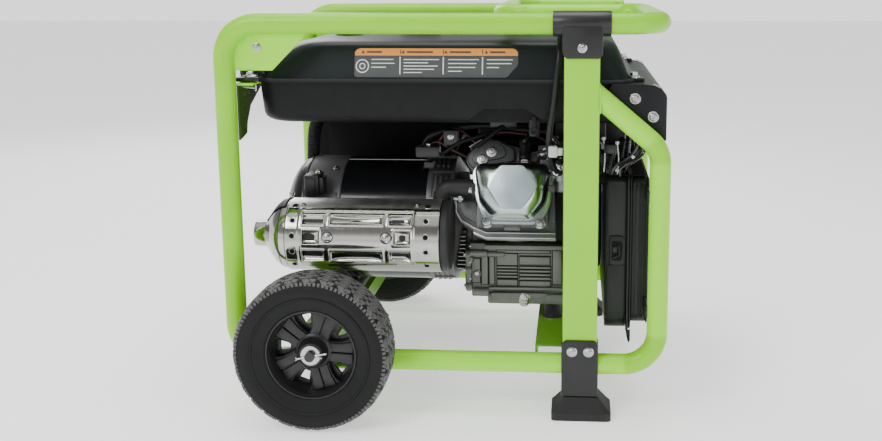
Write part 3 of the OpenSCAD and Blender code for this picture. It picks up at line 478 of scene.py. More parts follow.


def muffler():
    """Polished pressed shield round a dark drum, its domed end, outlet and inlet elbow."""
    axis_y, axis_z = -190, 284
    along = end(0, axis_y, axis_z)

    def spot(x, angle, r):
        """A point on the shield and the way out of it; the angle rises from the near side."""
        c, s = cos(radians(angle)), sin(radians(angle))
        return Vector((x, axis_y - r * c, axis_z + r * s)), Vector((0, -c, s))

    drum = Piece(HOT_BLACK, POLISHED)
    drum.solid([(-282, 56), (-279, 58), (-8, 58), (-7, 60), (2, 60), (5, 57)], along, 72)
    drum.on(1).lathe([(-311, 22), (-311, 25), (-309, 27.5), (-305, 31), (-300, 39), (-292, 49), (-283, 56),
                      (-276, 59), (-268, 60.5)], along, 72)
    drum.lathe([(-309, 20), (-330, 20), (-331, 20.5), (-331, 22), (-330, 22.5), (-309, 22.5)], along, 48)
    drum.on(0).lathe([(-331, 20), (-318, 20), (-318, 0)], along, 32)
    # Dark cap over the domed end's upper part: its black paints the dark reflection on the polished dome
    # there
    cap = [(-309, 25), (-309, 28.5), (-305, 33), (-300, 41), (-292, 51), (-283, 58.5), (-272, 62)]
    drum.lathe(cap, along, 30, -12, 130)
    drum.lathe([(x + 1.2, r - 1.4) for x, r in cap], along, 30, -12, 130)
    # Support strut down to the alternator's foot
    drum.plate([(-200, 230), (-170, 235), (-96, 156), (-112, 156)], 235, 240, 0.8, front(0))
    drum.done("muffler_drum", "black_paint", "muffler_body")

    # Pressed shield: a ruled grid with its slots sunk and its middle panel raised
    slots = [(x0, x1, a0, a1) for a0, a1 in ((28.5, 43), (-29, -12))
             for x0, x1 in ((-237, -202), (-190, -103), (-91, -56))]
    slots += [(-236, -208, -1, 19), (-83, -56, -1, 19)]
    xs, angles = {-267, -262, -255, -249, -246, -244, -51, -49, -46, -40, -30, -18, -12, -9}, set()
    for x0, x1, a0, a1 in slots:
        xs |= {x0 - 3.2, x0 - 1.6, x0, x0 + 1.5, x1 - 1.5, x1, x1 + 1.6, x1 + 3.2}
        angles |= {a0 - 3, a0 - 1.5, a0, a0 + 1.4, a1 - 1.4, a1, a1 + 1.5, a1 + 3}
    angles |= set(range(-108, -52, 6)) | set(range(62, 108, 6))
    angles |= {-50, -48, -46, -44, -36, 8.5, 50, 54, 56, 58}
    xs, angles = sorted(xs), sorted(angles)

    def lift(x, a):
        """How far the shield stands proud of its plain radius, or is sunk."""
        h = 2.0 if -245 < x < -50 and -47 < a < 57 else 0.0
        for x0, x1, a0, a1 in slots:
            if x0 < x < x1 and a0 < a < a1:
                return -4.6
            if x0 - 2 < x < x1 + 2 and a0 - 2 < a < a1 + 2:
                h = 3.4
        return h

    shield = Piece(POLISHED, SATIN_AND_SHEEN)
    faces, n, back = [], len(angles), len(xs) * len(angles)
    verts = [spot(x, a, 62 + lift(x, a))[0] for x in xs for a in angles]
    verts += [spot(x, a, 60.4 + min(0, lift(x, a)))[0] for x in xs for a in angles]
    for i in range(len(xs) - 1):
        for k in range(n - 1):
            f = [i * n + k, i * n + k + 1, (i + 1) * n + k + 1, (i + 1) * n + k]
            faces += [f, [back + v for v in f[::-1]]]
    rim = [i * n for i in range(len(xs))] + [(len(xs) - 1) * n + k for k in range(1, n)]
    rim += [i * n + n - 1 for i in range(len(xs) - 2, -1, -1)] + list(range(n - 2, 0, -1))
    faces += [[a, b, back + b, back + a] for a, b in zip(rim, rim[1:] + rim[:1])]
    shield.add(verts, faces)
    o = shield.done("muffler_shield_pressing", "polished_steel", "muffler_shield", smooth=180)
    for face in o.data.polygons:  # the top strip, where the raised panel ends, is pale satin: painted bright reflection
        face.material_index = int(face.center.z > SHEEN_FROM * MM)
    fine = o.modifiers.new("smooth", "SUBSURF")
    fine.levels = fine.render_levels = 2

    # Vent holes, panel bolts and corner screws; the holes' dark discs and the dark rings under the bolts'
    # washers are painted shade
    trim = Piece(RECESS_SHADE, STEEL)
    for x, spots in ((-254, (63, 35, 11, -14, -40)), (-30.5, (64, 35.5, 11, -13, -39.7))):
        for a in spots:
            place = toward(*spot(x, a, 61.4))
            trim.on(0).lathe([(0, 4.3), (0.9, 4.3), (1.0, 3.8), (0.75, 0)], place, 20)
            trim.on(1).lathe([(0, 5.6), (0.75, 5.6), (1.2, 5.0), (1.1, 4.2), (0.2, 4.2)], place, 20)
    for x in (-194, -96.5):
        at, out = spot(x, 9, 64.2)
        trim.on(0).lathe([(-0.6, 9.6), (0.9, 9.4), (0.9, 0)], toward(at, out), 32)
        trim.on(1).lathe([(0, 8.2), (1.4, 8.2), (2.2, 7), (1.6, 5.6), (1.6, 0)], toward(at, out), 32)
        trim.bolt(at + out * 1.4, out, 4.4, 4.6, 1.3)
    for x, a in ((-241, 65), (-49, 67)):
        trim.bolt(*spot(x, a, 61.6), 3.2, 3.4, 1.4)
    trim.done("muffler_trim", "bright_steel")

    # Inlet elbow with its flange on the head
    bend = Piece(HOT_BLACK, STEEL)
    bend.tube(rounded([(44, -161, 361), (-14, -161, 361), (-14, -161, 330)], [0, 17, 0]), 15.2, 24)
    bend.plate(rect(-24, 24, -13, 13, 9), 0, 7, 1.2, end(40, -161, 361))
    bend.on(1)
    for y in (-179, -143):
        bend.bolt((40, y, 361), (-1, 0, 0), 5, 6)
    bend.done("exhaust_elbow_pipe", "black_paint", "exhaust_elbow")


# ---------- engine ----------

LOFT_POINTS = 96  # round each outline


def radius_at(outline, angle):
    """How far a ray from the origin goes before it leaves a closed outline."""
    d, best = Vector((cos(angle), sin(angle))), 0.0
    for a, b in zip(outline, outline[1:] + outline[:1]):
        a, e = Vector(a), Vector(b) - Vector(a)
        cross = d.x * e.y - d.y * e.x
        if abs(cross) > 1e-9:
            t, s = (a.x * e.y - a.y * e.x) / cross, (a.x * d.y - a.y * d.x) / cross
            if t > 0 and -1e-6 <= s <= 1 + 1e-6:
                best = max(best, t)
    return best


def loft(piece, rings, at, close=True):
    """Skins star-shaped outlines, each given with its height."""
    verts, n = [], LOFT_POINTS
    for outline, z in rings:
        for k in range(n):
            a = 2 * pi * k / n
            r = radius_at(outline, a)
            verts.append((r * cos(a), r * sin(a), z))
    faces = quads(len(rings), n)
    if close:
        faces.append([(len(rings) - 1) * n + k for k in range(n)])
    piece.add(verts, faces, at)


def blend_outline(a, b, t):
    """An outline part of the way from one star-shaped outline to another."""
    out = []
    for k in range(LOFT_POINTS):
        w = 2 * pi * k / LOFT_POINTS
        r = radius_at(a, w) * (1 - t) + radius_at(b, w) * t
        out.append((r * cos(w), r * sin(w)))
    return out


def valve_cover():
    """Pressed bright cover: a blank six-sided pad on a dome, over a double flange with bolt lobes."""
    flange = corners([(-69, 34), (-64, 47), (-50, 54), (52, 54), (64, 47), (70, 34), (66, -12), (58, -34),
                      (44, -52), (-40, -52), (-52, -34), (-61, -12)], 9)
    base = corners([(-65, 40), (-58, 51.5), (56, 51.5), (66, 39), (62, 8), (57.5, -16), (34, -46), (-33, -46),
                    (-55, -17), (-60, 7)], 8)
    pad = corners([(-19.5, 41), (19.5, 41), (42.5, 5.5), (17, -34), (-15, -34), (-39.5, 4)], 5)
    cover = Piece(VALVE, VALVE_PAD, STEEL)
    cover.plate(flange, 203, 205.6, 0.9, TILT)
    cover.plate([(x * 0.975, y * 0.975) for x, y in flange], 205.6, 208.2, 0.9, TILT)
    lobes = ((-42, -49), (47.5, -49))
    for x, y in lobes:
        for grow, z0, z1 in ((10, 203, 205.6), (8.6, 205.6, 208.2)):
            cover.solid([(z0, grow), (z1 - 0.8, grow), (z1, grow - 0.8)], TILT @ shift(x, y, 0), 28)
    blends = ((0.02, 213), (0.06, 217), (0.16, 223), (0.34, 229), (0.56, 233.5), (0.78, 236.8),
              (0.93, 238.6), (1.0, 239.0))
    rings = [(base, 208.2), (base, 209.5)] + [(blend_outline(base, pad, t), z) for t, z in blends]
    loft(cover, rings, TILT, close=False)
    inset = blend_outline(pad, [(x * 0.94, y * 0.94) for x, y in pad], 1)
    loft(cover.on(1), [(pad, 239.0), (inset, 239.6)], TILT)
    cover.on(2)
    for x, y in lobes:
        cover.bolt(TILT @ Vector((x, y, 208.2)), LEAN, 4.6, 4.5, 1.3)
    cover.done("valve_cover_pressing", "polished_steel", "valve_cover", smooth=24)


def strip(piece, points, width, z0, z1, at, r=0.5):
    """A flat bar of even width along points drawn in X and Y."""
    left, right = [], []
    pts = [Vector(p) for p in points]
    for i, p in enumerate(pts):
        u = (pts[min(i + 1, len(pts) - 1)] - pts[max(i - 1, 0)]).normalized()
        side = Vector((-u.y, u.x)) * width / 2
        left.append(tuple(p + side))
        right.append(tuple(p - side))
    piece.plate(left + right[::-1], z0, z1, r, at)


def head_shroud():
    """Cast cooling shroud round the head: upper lobe, lower lobe and its double-edged ledge."""
    shroud = Piece(SHROUD, SATIN_AND_SHEEN, RECESS_SHADE)
    body = [(-101, -5), (-100, -24), (-91, -39), (-68, -51), (-46, -59), (73, -59), (73, -40), (70, 11),
            (66, 58), (52, 82), (30, 88), (12, 92), (-10, 98), (-30, 108), (-46, 108), (-64, 95), (-84, 80),
            (-85, 64), (-74, 50), (-70, 20), (-76, 2)]
    upper = [(-82, 79), (-83, 65), (-72, 52), (-62, 58), (-20, 62), (0, 68), (-2, 90), (-13, 95), (-31, 105),
             (-45, 105), (-62, 93)]
    inner = [(-72, 76), (-73, 66), (-66, 60), (-55, 66), (-26, 70), (-14, 76), (-18, 90), (-32, 99),
             (-44, 99), (-58, 89)]
    # The body, the upper lobe's two layers and two pads, the lower lobe's panel and the right-hand ear
    layers = [(body, 6, 112, 163, 2.5), (upper, 5, 163, 169, 1.2), (inner, 5, 169, 172, 1),
              ([(4, 66), (40, 66), (40, 84), (22, 86), (8, 89)], 5, 163, 168, 1.2),
              ([(44, 60), (64, 58), (60, 76), (46, 86)], 5, 163, 171, 1.2),
              ([(-93, -7), (-92, -21), (-84, -33), (-64, -43), (-56, -43), (-66, -5)], 5, 163, 168, 1.2),
              ([(60, 8), (70, 10), (72, -44), (58, -40), (60, -20)], 4, 163, 176, 1.2)]
    for outline, r, z0, z1, edge in layers:
        shroud.plate(corners(outline, r), z0, z1, edge, TILT)
    # Dark lines round the upper lobe's layers: painted shade in the creases
    strip(shroud.on(2), corners(inner, 5) + [inner[0]], 1.3, 168.8, 169.4, TILT, 0.1)
    strip(shroud, [(x * 0.985, y * 0.985) for x, y in corners(upper, 5)], 1.2, 168.8, 169.3, TILT, 0.1)
    # Pale satin strips on the ledge's two edges and the lower lobe's rim paint their highlights; the bolts
    # are pale satin steel
    shroud.on(1)
    edge = [(-99, -24), (-90, -40), (-67, -52.5), (-46, -61), (73, -61)]
    strip(shroud, edge, 1.6, 150, 173, TILT)
    strip(shroud, [(x, y - 8.4) for x, y in edge[2:]], 1.6, 150, 173, TILT)
    strip(shroud.on(0), [(x, y - 4.2) for x, y in edge[2:]], 8.4, 150, 170.5, TILT)
    strip(shroud.on(1), [(-99.6, -5), (-98.6, -23.5), (-90, -38.5)], 1.4, 163, 167.5, TILT)
    for x, y, z in ((-56, 68, 172), (-40, 82, 172), (48, 80, 171)):
        shroud.bolt(TILT @ Vector((x, y, z)), LEAN, 6.2, 6, 1.45)
    shroud.on(2)
    # Three dark round studs on the lobe, in painted shade
    for x in (-20, 10, 40):
        shroud.solid([(163, 4), (172, 4), (173, 3)], TILT @ shift(x, 60, 0), 16)
    # Pressed lip over the upper lobe, seen as a short bright line; its pale satin is a painted highlight
    strip(shroud.on(1), [(-80, 92), (-58, 106)], 1.6, 140, 168, TILT)
    shroud.done("head_shroud_casting", "dark_casting", "head_shroud")

    head = Piece(SHROUD, STEEL)
    head.block((-54, -46, 165), (54, 46, 203), 3, TILT)
    for k in range(4):
        head.block((-60, -52, 168 + k * 9), (60, 52, 171 + k * 9), 1, TILT)
    head.block((-14, -58, 176), (14, -44, 190), 2, TILT)
    head.on(1)
    stud = Vector((24, -176, 345))
    head.tube([stud, stud + Vector((-16, 0, 0))], 3, 12)
    head.hexagon(6, 2, 8, toward(stud, (-1, 0, 0)))
    head.done("cylinder_head_casting", "dark_casting", "cylinder_head")


def engine_block():
    """Crankcase with the ribbed and panelled near face, sump foot, finned barrel and bosses."""
    case = Piece(CASE, STEEL, RECESS_SHADE)
    case.plate([(-106, 150), (-106, 245), (-88, 250), (-35, 361), (30, 361), (122, 300), (122, 150)], 0, 166,
               3, end(30))
    case.plate(corners([(28, 250), (194, 250), (194, 160), (167, 157), (63, 156), (37, 166), (29, 177)], 3),
               0, 8, 2, front(-104))
    case.block((60, -118, 140), (200, 128, 158), 3)
    case.plate(corners([(66, 161), (66, 147), (76, 141), (160, 141), (167, 161)], 3), 0, 5, 1.5, front(-115))
    case.blocks(((55, -121, 241), (196, -100, 249), 1.2), ((62, -119, 167), (196, -106, 171), 1.0))
    face = front(-112)
    # Each raised pad sits on a slightly larger dark outline: painted shade at its foot
    for x0, x1, z0, z1, h in ((49, 60, 175, 226, 3), (63, 72, 175, 226, 3.5), (77, 113, 211, 232, 3),
                              (77, 113, 173, 184, 3), (117, 171, 213, 227, 4), (117, 172, 173, 182, 4),
                              (32, 46, 178, 222, 2), (176, 192, 176, 238, 1.5), (77, 171, 233.5, 238.5, 2.5)):
        case.on(2).plate(rect(x0 - 1.5, x1 + 1.5, z0 - 1.5, z1 + 1.5), -0.3, 0.4, 0, face)
        case.on(0).plate(rect(x0, x1, z0, z1, 1.2, 2), 0, h, 0.8, face)
    # Dark panels behind the fin rows: painted shade between the fins
    case.on(2)
    for x0, x1 in ((75.5, 114.5), (115.5, 173.5)):
        case.plate(rect(x0, x1, 185, 210.5), -0.3, 0.5, 0, face)
    case.on(0)
    for k in range(4):
        case.plate(rect(77, 113, 188 + k * 5.8, 191 + k * 5.8), 0, 3, 0.7, face)
        case.plate(rect(117, 172, 185.5 + k * 6.6, 189 + k * 6.6), 0, 4.4, 0.7, face)
    for x0, x1, z, r in ((28, 60, 232, 6.5), (60, 91, 231, 5), (35, 62, 162, 6.5), (29, 34, 222, 8)):
        case.solid([(x0, r - 0.8), (x0 + 0.8, r), (x1 - 0.8, r), (x1, r - 0.8)], end(0, -113, z), 24)
    case.solid([(60, 54), (112, 54)], TILT)
    for k in range(4):
        z = 66 + k * 12
        case.lathe([(z, 50), (z, 62), (z + 0.8, 63), (z + 2.6, 63), (z + 3.4, 62), (z + 3.4, 50)], TILT, 48)
    case.on(1).bolt((126, -120, 152), (0, -1, 0), 7.5, 8, 1.35)
    case.bolt((41, -115, 196), (0, -1, 0), 4, 4, 1.3)
    for z in (184, 214, 244):
        case.solid([(0, 2.6), (3, 2.6), (3.6, 1.8)], toward((30, -110, z), (-1, 0, 0)), 12)
    case.done("crankcase_casting", "dark_casting", "crankcase")

    cover = Piece(CASE, STEEL)
    rim = [(-112, 158), (-112, 235), (-89, 245), (-50, 330), (-20, 340), (30, 340), (122, 292), (122, 158)]
    cover.plate(corners(rim, 12), 0, 10, 2.4, end(20))
    cover.plate(corners([(y * 0.9, 262 + (z - 262) * 0.9) for y, z in rim], 12), -2, 1, 1, end(20))
    for z in (170, 200, 229):
        cover.on(0).solid([(20, 7), (22, 8), (31, 8)], end(0, -108, z), 24)
        cover.on(1).bolt((20, -108, z), (-1, 0, 0), 3.6, 3.4)
    cover.done("crankcase_end_cover", "dark_casting", "crankcase_cover")

    fins = Piece(FIN, SHROUD)
    for k in range(9):
        z = 201 + k * 7.3
        fins.plate([(-6 + k, -66), (20, -66), (20, -108), (4 + k, -108)], z, z + 1.6, 0.4)
    fins.on(1).block((6, -84, 198), (19, -62, 266), 2)
    fins.done("shroud_louvres", "bare_casting")


# ---------- tank ----------

TANK_X, TANK_Y = 305, 225
TANK_LEFT = 8  # the left end reaches this much further


def wall_inset(z):
    """How far the upper tank's long walls lean in at a height."""
    return 13 * max(0, z - 552) / 57


def tank_ring(left, right, side, radius):
    """A rounded rectangle with its long sides divided, starting at the far right corner."""
    per_corner, rows = 9, 14
    x0, x1, y = -TANK_X - TANK_LEFT + left, TANK_X - right, TANK_Y - side
    out = []
    for cx, cy, start in ((x1 - radius, y - radius, 0), (x0 + radius, y - radius, 90),
                          (x0 + radius, radius - y, 180), (x1 - radius, radius - y, 270)):
        for k in range(per_corner):
            a = radians(start + 90 * k / (per_corner - 1))
            out.append((cx + radius * cos(a), cy + radius * sin(a)))
        if start in (0, 180):
            (ax, ay), bx = out[-1], x0 + radius if start == 0 else x1 - radius
            out += [(ax + (bx - ax) * k / rows, ay) for k in range(1, rows)]
    return out


def skin(piece, rings, close_top=True, close_bottom=False):
    """Skins rings of equal length; each comes with its height, or a function that gives it."""
    n = len(rings[0][0])
    verts = [(x, y, z(x, y) if callable(z) else z) for ring, z in rings for x, y in ring]
    faces = quads(len(rings), n)
    if close_top:
        faces.append([(len(rings) - 1) * n + k for k in range(n)])
    if close_bottom:
        faces.append(list(range(n))[::-1])
    piece.add(verts, faces)


def flange(piece, z0, z1):
    """The lip that runs round the tank between two heights."""
    ring = tank_ring(-8, -8, -8, 42)
    skin(piece, [(ring, z0), (ring, z1)], True, True)


def carve(o, cutter):
    """Cuts a gathered piece out of a finished object, and keeps the object's finishes."""
    tool = cutter.done("cutter_" + o.name)
    cut = o.modifiers.new("cut", "BOOLEAN")
    cut.operation, cut.solver, cut.object = "DIFFERENCE", "EXACT", tool
    graph = bpy.context.evaluated_depsgraph_get()
    mesh = bpy.data.meshes.new_from_object(o.evaluated_get(graph))
    o.modifiers.remove(cut)
    o.data = mesh
    mesh.polygons.foreach_set("use_smooth", [True] * len(mesh.polygons))
    mesh.set_sharp_from_angle(angle=radians(32))
    bpy.data.objects.remove(tool)


def tank():
    """Two pressed halves on one flange, filler neck, gauge, vent, tap and fixings."""
    top = Piece(TANK_GLOSS, POLISHED)
    swage = [(552, 0, 0, 0, 36), (560, 4, 3, wall_inset(560), 36), (585, 29, 13, wall_inset(585), 40),
             (600, 46, 20, wall_inset(600), 44), (606, 54, 24, 12.6, 46), (609.5, 60, 27, 15, 46),
             (612.5, 67, 32, 20, 46), (614.6, 76, 38, 28, 46), (616, 88, 46, 40, 46)]
    rings = [(tank_ring(*insets), z) for z, *insets in swage]
    rings.append((tank_ring(110, 66, 62, 46), lambda x, y: 616.6 - 3.5 * max(0, cos(x / 95)) ** 3))
    skin(top, rings + [(tank_ring(140, 96, 100, 46), 616.8)])
    flange(top, 551.6, 554.8)
    for side in SIDES:
        top.block((298, side * 204, 549.2), (326, side * 178, 554.8), 1)
    top.lathe([(612, 27), (624, 27), (627, 25), (627, 0)], shift(-70, 0, 0), 40)
    top.lathe([(612, 9), (637, 9), (640, 6.5), (640, 0)], shift(189, -104, 0), 24)
    top.tube([(189, -104, 634), (189, -123, 634)], 4.6, 16)
    top.lathe([(612, 24), (621, 24), (623, 22), (623, 19), (621.8, 18), (621.8, 0)], shift(-190, -60, 0), 40)
    top.done("tank_upper_half", "black_plastic", "tank_top")

    low = Piece(TANK_MATT)
    cut = [(479.5, 30, 30, 30, 30), (479.8, 25, 25, 24, 32), (481.5, 17, 17, 17, 34),
           (485, 10.5, 10.5, 10.5, 36), (490, 6, 6, 6, 36), (497, 4, 4, 3.4, 36), (525, 1.6, 1.6, 1.4, 36),
           (548, 0, 0, 0, 36), (551.4, 0, 0, 0, 36)]
    skin(low, [(tank_ring(*insets), z) for z, *insets in cut], True, True)
    flange(low, 548.6, 551.5)
    o = low.done("tank_lower_half", "black_plastic", "tank_bottom")
    dent = Piece()
    dent.plate([(30, 470), (38, 486), (66, 506), (132, 506), (164, 486), (172, 470)], 0, 60, 0, front(-196))
    carve(o, dent)

    tap = Piece(DARK_METAL)
    tap.solid([(456, 7), (458, 9), (478, 9), (484, 10.5)], shift(146, -190, 0), 20)
    tap.tube([(146, -190, 468), (146, -206, 468)], 3, 12)
    tap.done("fuel_tap", "black_plastic")

    # Lugs, studs and bolts on the flange, at both ends
    lip = Piece(BLACK, STEEL)
    for side in SIDES:
        lip.on(0).blocks(((-330, side * 200 - 18, 548.5), (-298, side * 200 + 18, 551), 1),
                         ((-342, side * 186, 550), (-300, side * 244, 558), 3),
                         ((-342, side * 182, 556), (-298, side * 214, 574), 4))
        stud = toward((-318, side * 205, 546), (0, 0, -1))
        lip.on(1).solid([(0, 3), (14, 3), (15, 2)], stud, 12).hexagon(5.5, 0, 5, stud)
        lip.lathe([(-1, 11), (0, 11), (0, 0)], shift(309, side * 191, 556), 28)
        lip.bolt((309, side * 191, 556), (0, 0, 1), 6.5, 8, 1.5)
    lip.done("tank_fixings", "bright_steel")


def tank_label():
    """A blank information plate: an orange band over grey, dividers, a round symbol and bare bars."""
    x0, x1, z0, z1, mid = -147, 121, 557, 604, 592
    plate, face = Piece(LABEL_GREY, LABEL_ORANGE, LABEL_WHITE, LABEL_DARK), front(0)

    def mark(outline, low, high):
        plate.plate(outline, low, high, 0, face)

    mark(corners([(x0, z0), (x1 - 18, z0), (x1 - 10, z0 + 10), (x1, z0 + 20), (x1, z1 - 6), (x1 - 3, z1 - 2),
                  (x1 - 8, z1), (x0 + 9, z1), (x0 + 3, z1 - 2), (x0, z1 - 7)], 5), 0, 0.4)
    plate.on(1)
    mark([(x0 + 0.6, mid), (x1 - 0.6, mid), (x1 - 0.6, z1 - 7), (x1 - 4, z1 - 2.4), (x1 - 9, z1 - 0.6),
          (x0 + 9, z1 - 0.6), (x0 + 4, z1 - 2.4), (x0 + 0.6, z1 - 7)], 0.4, 0.7)
    plate.on(2)
    for x in (-72, -1, 63):
        mark(rect(x - 0.8, x + 0.8, z0 + 5, mid - 2), 0.4, 0.8)
    symbol = face @ shift(x0 + 13, 575, 0)
    plate.lathe(rect(0.4, 0.9, 11, 9.4), symbol, 28)
    plate.lathe(rect(0.4, 0.8, 5, 3.6), symbol, 20)
    bars = ((-119, (36, 38, 24)), (-66, (58, 40, 56, 50, 30)), (7, (50, 46, 44, 22)), (70, (42, 40, 20)))
    for x, widths in bars:
        for k, width in enumerate(widths):
            z = 585 - k * (5.2 if len(widths) > 4 else 6.2)
            mark(rect(x, x + width, z, z + 1.3), 0.4, 0.6)
    plate.on(3)
    for x in (-71, -1, 63):
        mark(rect(x - 0.7, x + 0.7, mid + 2.5, z1 - 2.5), 0.7, 0.9)
    for x, w in ((-128, 34), (-62, 52), (8, 44), (74, 34)):
        mark([(x - 8, mid + 3.5), (x - 2, mid + 3.5), (x - 5, mid + 8.5)], 0.7, 0.9)
        mark(rect(x + 1, x + w - 8, mid + 4.2, mid + 7), 0.7, 0.9)
    for v in plate.bm.verts:  # laid on the leaning wall
        v.co.y -= TANK_Y - wall_inset(v.co.z) + 0.3
    plate.done("tank_label", "black_plastic", smooth=20)


# ---------- frame ----------

POST_Y = 277  # outer faces of the two posts, from the middle


def side_bolt(piece, x, z, y, side, r, h, flange, turn=12.0):
    piece.bolt((x, side * y, z), (0, side, 0), r, h, flange, turn)


def bead(piece, points, r):
    """A weld bead: a low rope of overlapping puddles along points."""
    path = smooth_path(points, 3)
    piece.tube(path, [r * (1.0 if k % 2 else 0.72) for k in range(len(path))], 8)


def tank_hangers():
    """Perforated bracket behind each left gusset, with its top flange and stud."""
    # The hanger plates take the dark lime: painted shadow
    hanger = Piece(LIME_IN_SHADOW)
    shape = corners([(-257, 547.4), (-136, 547.4), (-136, 533), (-196, 507), (-216, 482), (-221, 463),
                     (-257, 456)], 2, 2)
    for side in SIDES:
        hanger.plate(flipped(shape, side), 0, 3, 0.6, end(-333))
    o = hanger.done("tank_hanger_plates", "lime_paint")
    holes = Piece()
    for side in SIDES:
        for y, z in ((231, 527), (232, 508), (233, 489), (234, 471), (205, 528)):
            holes.solid([(-4, 4), (8, 4)], end(-333) @ shift(side * y, z, 0), 24)
    carve(o, holes)
    rest = Piece(LIME, STEEL)
    for side in SIDES:
        rest.on(0).blocks(((-335, side * 150, 545.8), (-306, side * 257, 549), 1),
                          ((204, side * 228, 546), (244, side * 243.2, 549), 1))
        rest.on(1).lathe([(557, 13), (560, 13), (561, 12), (561, 0)], shift(-318, side * 228, 0), 28)
        rest.bolt((-318, side * 228, 561), (0, 0, 1), 6.4, 5.5)
        rest.tube([(-336, side * 244, 543), (-306, side * 246, 541)], 1.8, 10)
    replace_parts(rest.done("tank_rests", "lime_paint"), "tank_brackets")


def frame_details():
    """Rounded posts, saddles, shoes, feet, gusset bolts, handle ears and weld beads."""
    post, plate, feet = Piece(LIME), Piece(BLACK, STEEL), Piece(RUBBER)
    ears = Piece(LIME, STEEL, BLACK)
    for side in SIDES:
        face = flank(side, POST_Y)
        post.block((196, side * 243, 42), (252, side * POST_Y, 629), 3.2, seg=3)
        # Saddle over the rail, its leg down the post and the fold at its right
        plate.lathe([(178, 17.2), (178, 19.4), (179, 20), (268, 20), (269, 19.4), (269, 17.2)],
                    end(0, side * 260, 646))
        leg = corners([(193, 644), (193, 600), (198, 592.5), (252, 592.5), (256, 598), (256, 644)], 5, 3)
        plate.plate(flipped(leg, side), 0, 3, 0.9, face)
        for x0, x1 in ((178, 193.5), (255.5, 269)):
            plate.plate(flipped(rect(x0, x1, 648, 632, 3, 2), side), 0, 2.4, 0.6, face)
        # Shoe round the post's lower end
        plate.block((194, side * 280.4, 38), (254, side * 242, 42), 1)
        shoe = corners([(194.5, 38), (254, 38), (254, 128), (249, 134), (200, 134), (194.5, 128)], 4, 3)
        plate.plate(flipped(shoe, side), 0, 3.2, 1.0, face)
        for x in (194.2, 251.4):
            plate.block((x, side * 279, 38), (x + 2.8, side * 243, 126), 1)
        # Foot: upright sole edge, long flared flanks and a flat top
        rings = []
        for z, hx, hy in ((0.2, 47, 31), (1.2, 48.6, 32.6), (2.4, 49, 33), (13.5, 49, 33), (15.2, 48.2, 32.2),
                          (17, 45.5, 30.6), (34.5, 30.5, 24), (36.6, 29, 22.6), (37.4, 27.6, 21.6)):
            rings.append((rect(-hx, hx, -hy, hy, 6 if z < 16 else 4), z))
        loft(feet, rings, shift(227, side * 261, 0))
        side_bolt(plate.on(1), 224, 609, 280, side, 5.2, 5.4, 1.4)
        for x in (211.5, 238.5):
            side_bolt(plate, x, 115, 280.2, side, 6.6, 6.4, 1.3, 25)
        plate.on(0)
        # Handle ear on the rail, its stud and nut
        ear = corners([(279, 645), (279, 668), (286, 676), (304, 676), (311, 668), (311, 645)], 7)
        ears.on(0).plate(flipped(ear, side), -14, 0, 1.0, flank(side, 253))
        axis = toward((295, side * 241, 661), (0, -side, 0))
        ears.lathe([(-2, 6), (34, 6), (34.6, 5.4), (34.6, 0)], axis, 24)
        ears.hexagon(9, 30.5, 36, axis)
        ears.bolt((295, side * 253, 661), (0, side, 0), 7.5, 6, 1.25)
        # Gusset bolt, hood bolts and the rest tab under the handle
        side_bolt(ears.on(1), -295, 608, 262, side, 5, 4.4, 1.4)
        for x, z in ((309, 526), (338, 497)):
            spot = toward((x, side * 241, z), (0, side, 0))
            ears.solid([(0, 9.2), (1.4, 9.2), (2.2, 8.2)], spot, 32)
            ears.lathe([(2, 6.6), (4.4, 6), (5.4, 4.6), (5.4, 2.6), (4.2, 2.2), (4.2, 0)], spot, 24)
        ears.on(0).block((112, side * 246, 642), (132, side * 218, 645.4), 1)
        # Welds
        bead(ears, [(252.4, side * 272, 506), (253, side * 276, 512), (253, side * 277, 528),
                    (252.8, side * 274, 546), (252.4, side * 266, 552)], 2.2)
        for x in (195.6, 252.4):
            bead(ears, [(x, side * 272, 73), (x, side * 276.5, 84), (x, side * 276, 98),
                        (x, side * 268, 105)], 2)
        bead(ears, [(-332, side * 262.5, 574), (-300, side * 262.5, 571.6)], 0.8)
    post.done("frame_post_rounded", "lime_paint", "frame_posts")
    plate.done("post_saddles_and_shoes", "black_paint", "post_brackets")
    feet.done("moulded_feet", "rubber", "rubber_feet", smooth=24)
    ears.done("ears_bolts_and_welds", "bright_steel", "frame_bolts")


# ---------- wheels ----------

TYRE_HALF = [(27, 74), (30, 77), (30.4, 79.5), (32, 82), (35.2, 90), (35.7, 92.6), (37.6, 94.2), (37.6, 95.8),
             (36.0, 97.2), (37.4, 102), (37.9, 106), (37.2, 112), (35.2, 118), (31, 122), (22, 124),
             (0, 124.2)]
TREAD_BLOCKS = 54  # in each of the seven rows
WHEEL_Z = 127  # the wheels' axis above the floor


def tread_radius(z):
    """The tyre's full radius at a distance from its middle plane."""
    z = abs(z)
    return 126.9 if z < 22 else 126.9 - 1.9 * (z - 22) / 9 if z < 31 else 125 - 3.6 * (z - 31) / 4.5


def tread_block(piece, place, a0, a1, z0, z1, slant, notch=0.0):
    """One moulded block: a slanted patch of the tread with a notch in one side."""
    cells = [(a0, z0), ((a0 + a1) / 2, z0 + notch), (a1, z0), (a1 + slant, z1),
             ((a0 + a1) / 2 + slant, z1 + notch), (a0 + slant, z1)]
    verts = []
    for low in (True, False):
        for a, z in cells:
            mid_a, mid_z = (a0 + a1 + slant) / 2, (z0 + z1) / 2
            if not low:
                a, z = mid_a + (a - mid_a) * 0.86, mid_z + (z - mid_z) * 0.88
            r = tread_radius(z) - (3.6 if low else 0)
            verts.append((r * cos(radians(a)), r * sin(radians(a)), z))
    faces = [list(range(6, 12))] + [[k, (k + 1) % 6, 6 + (k + 1) % 6, 6 + k] for k in range(6)]
    piece.add(verts, faces, place)


def mirrored(outline, s):
    """An outline, or with s at -1 its mirror image across X, wound the same way."""
    return outline if s > 0 else [(x, -y) for x, y in outline[::-1]]


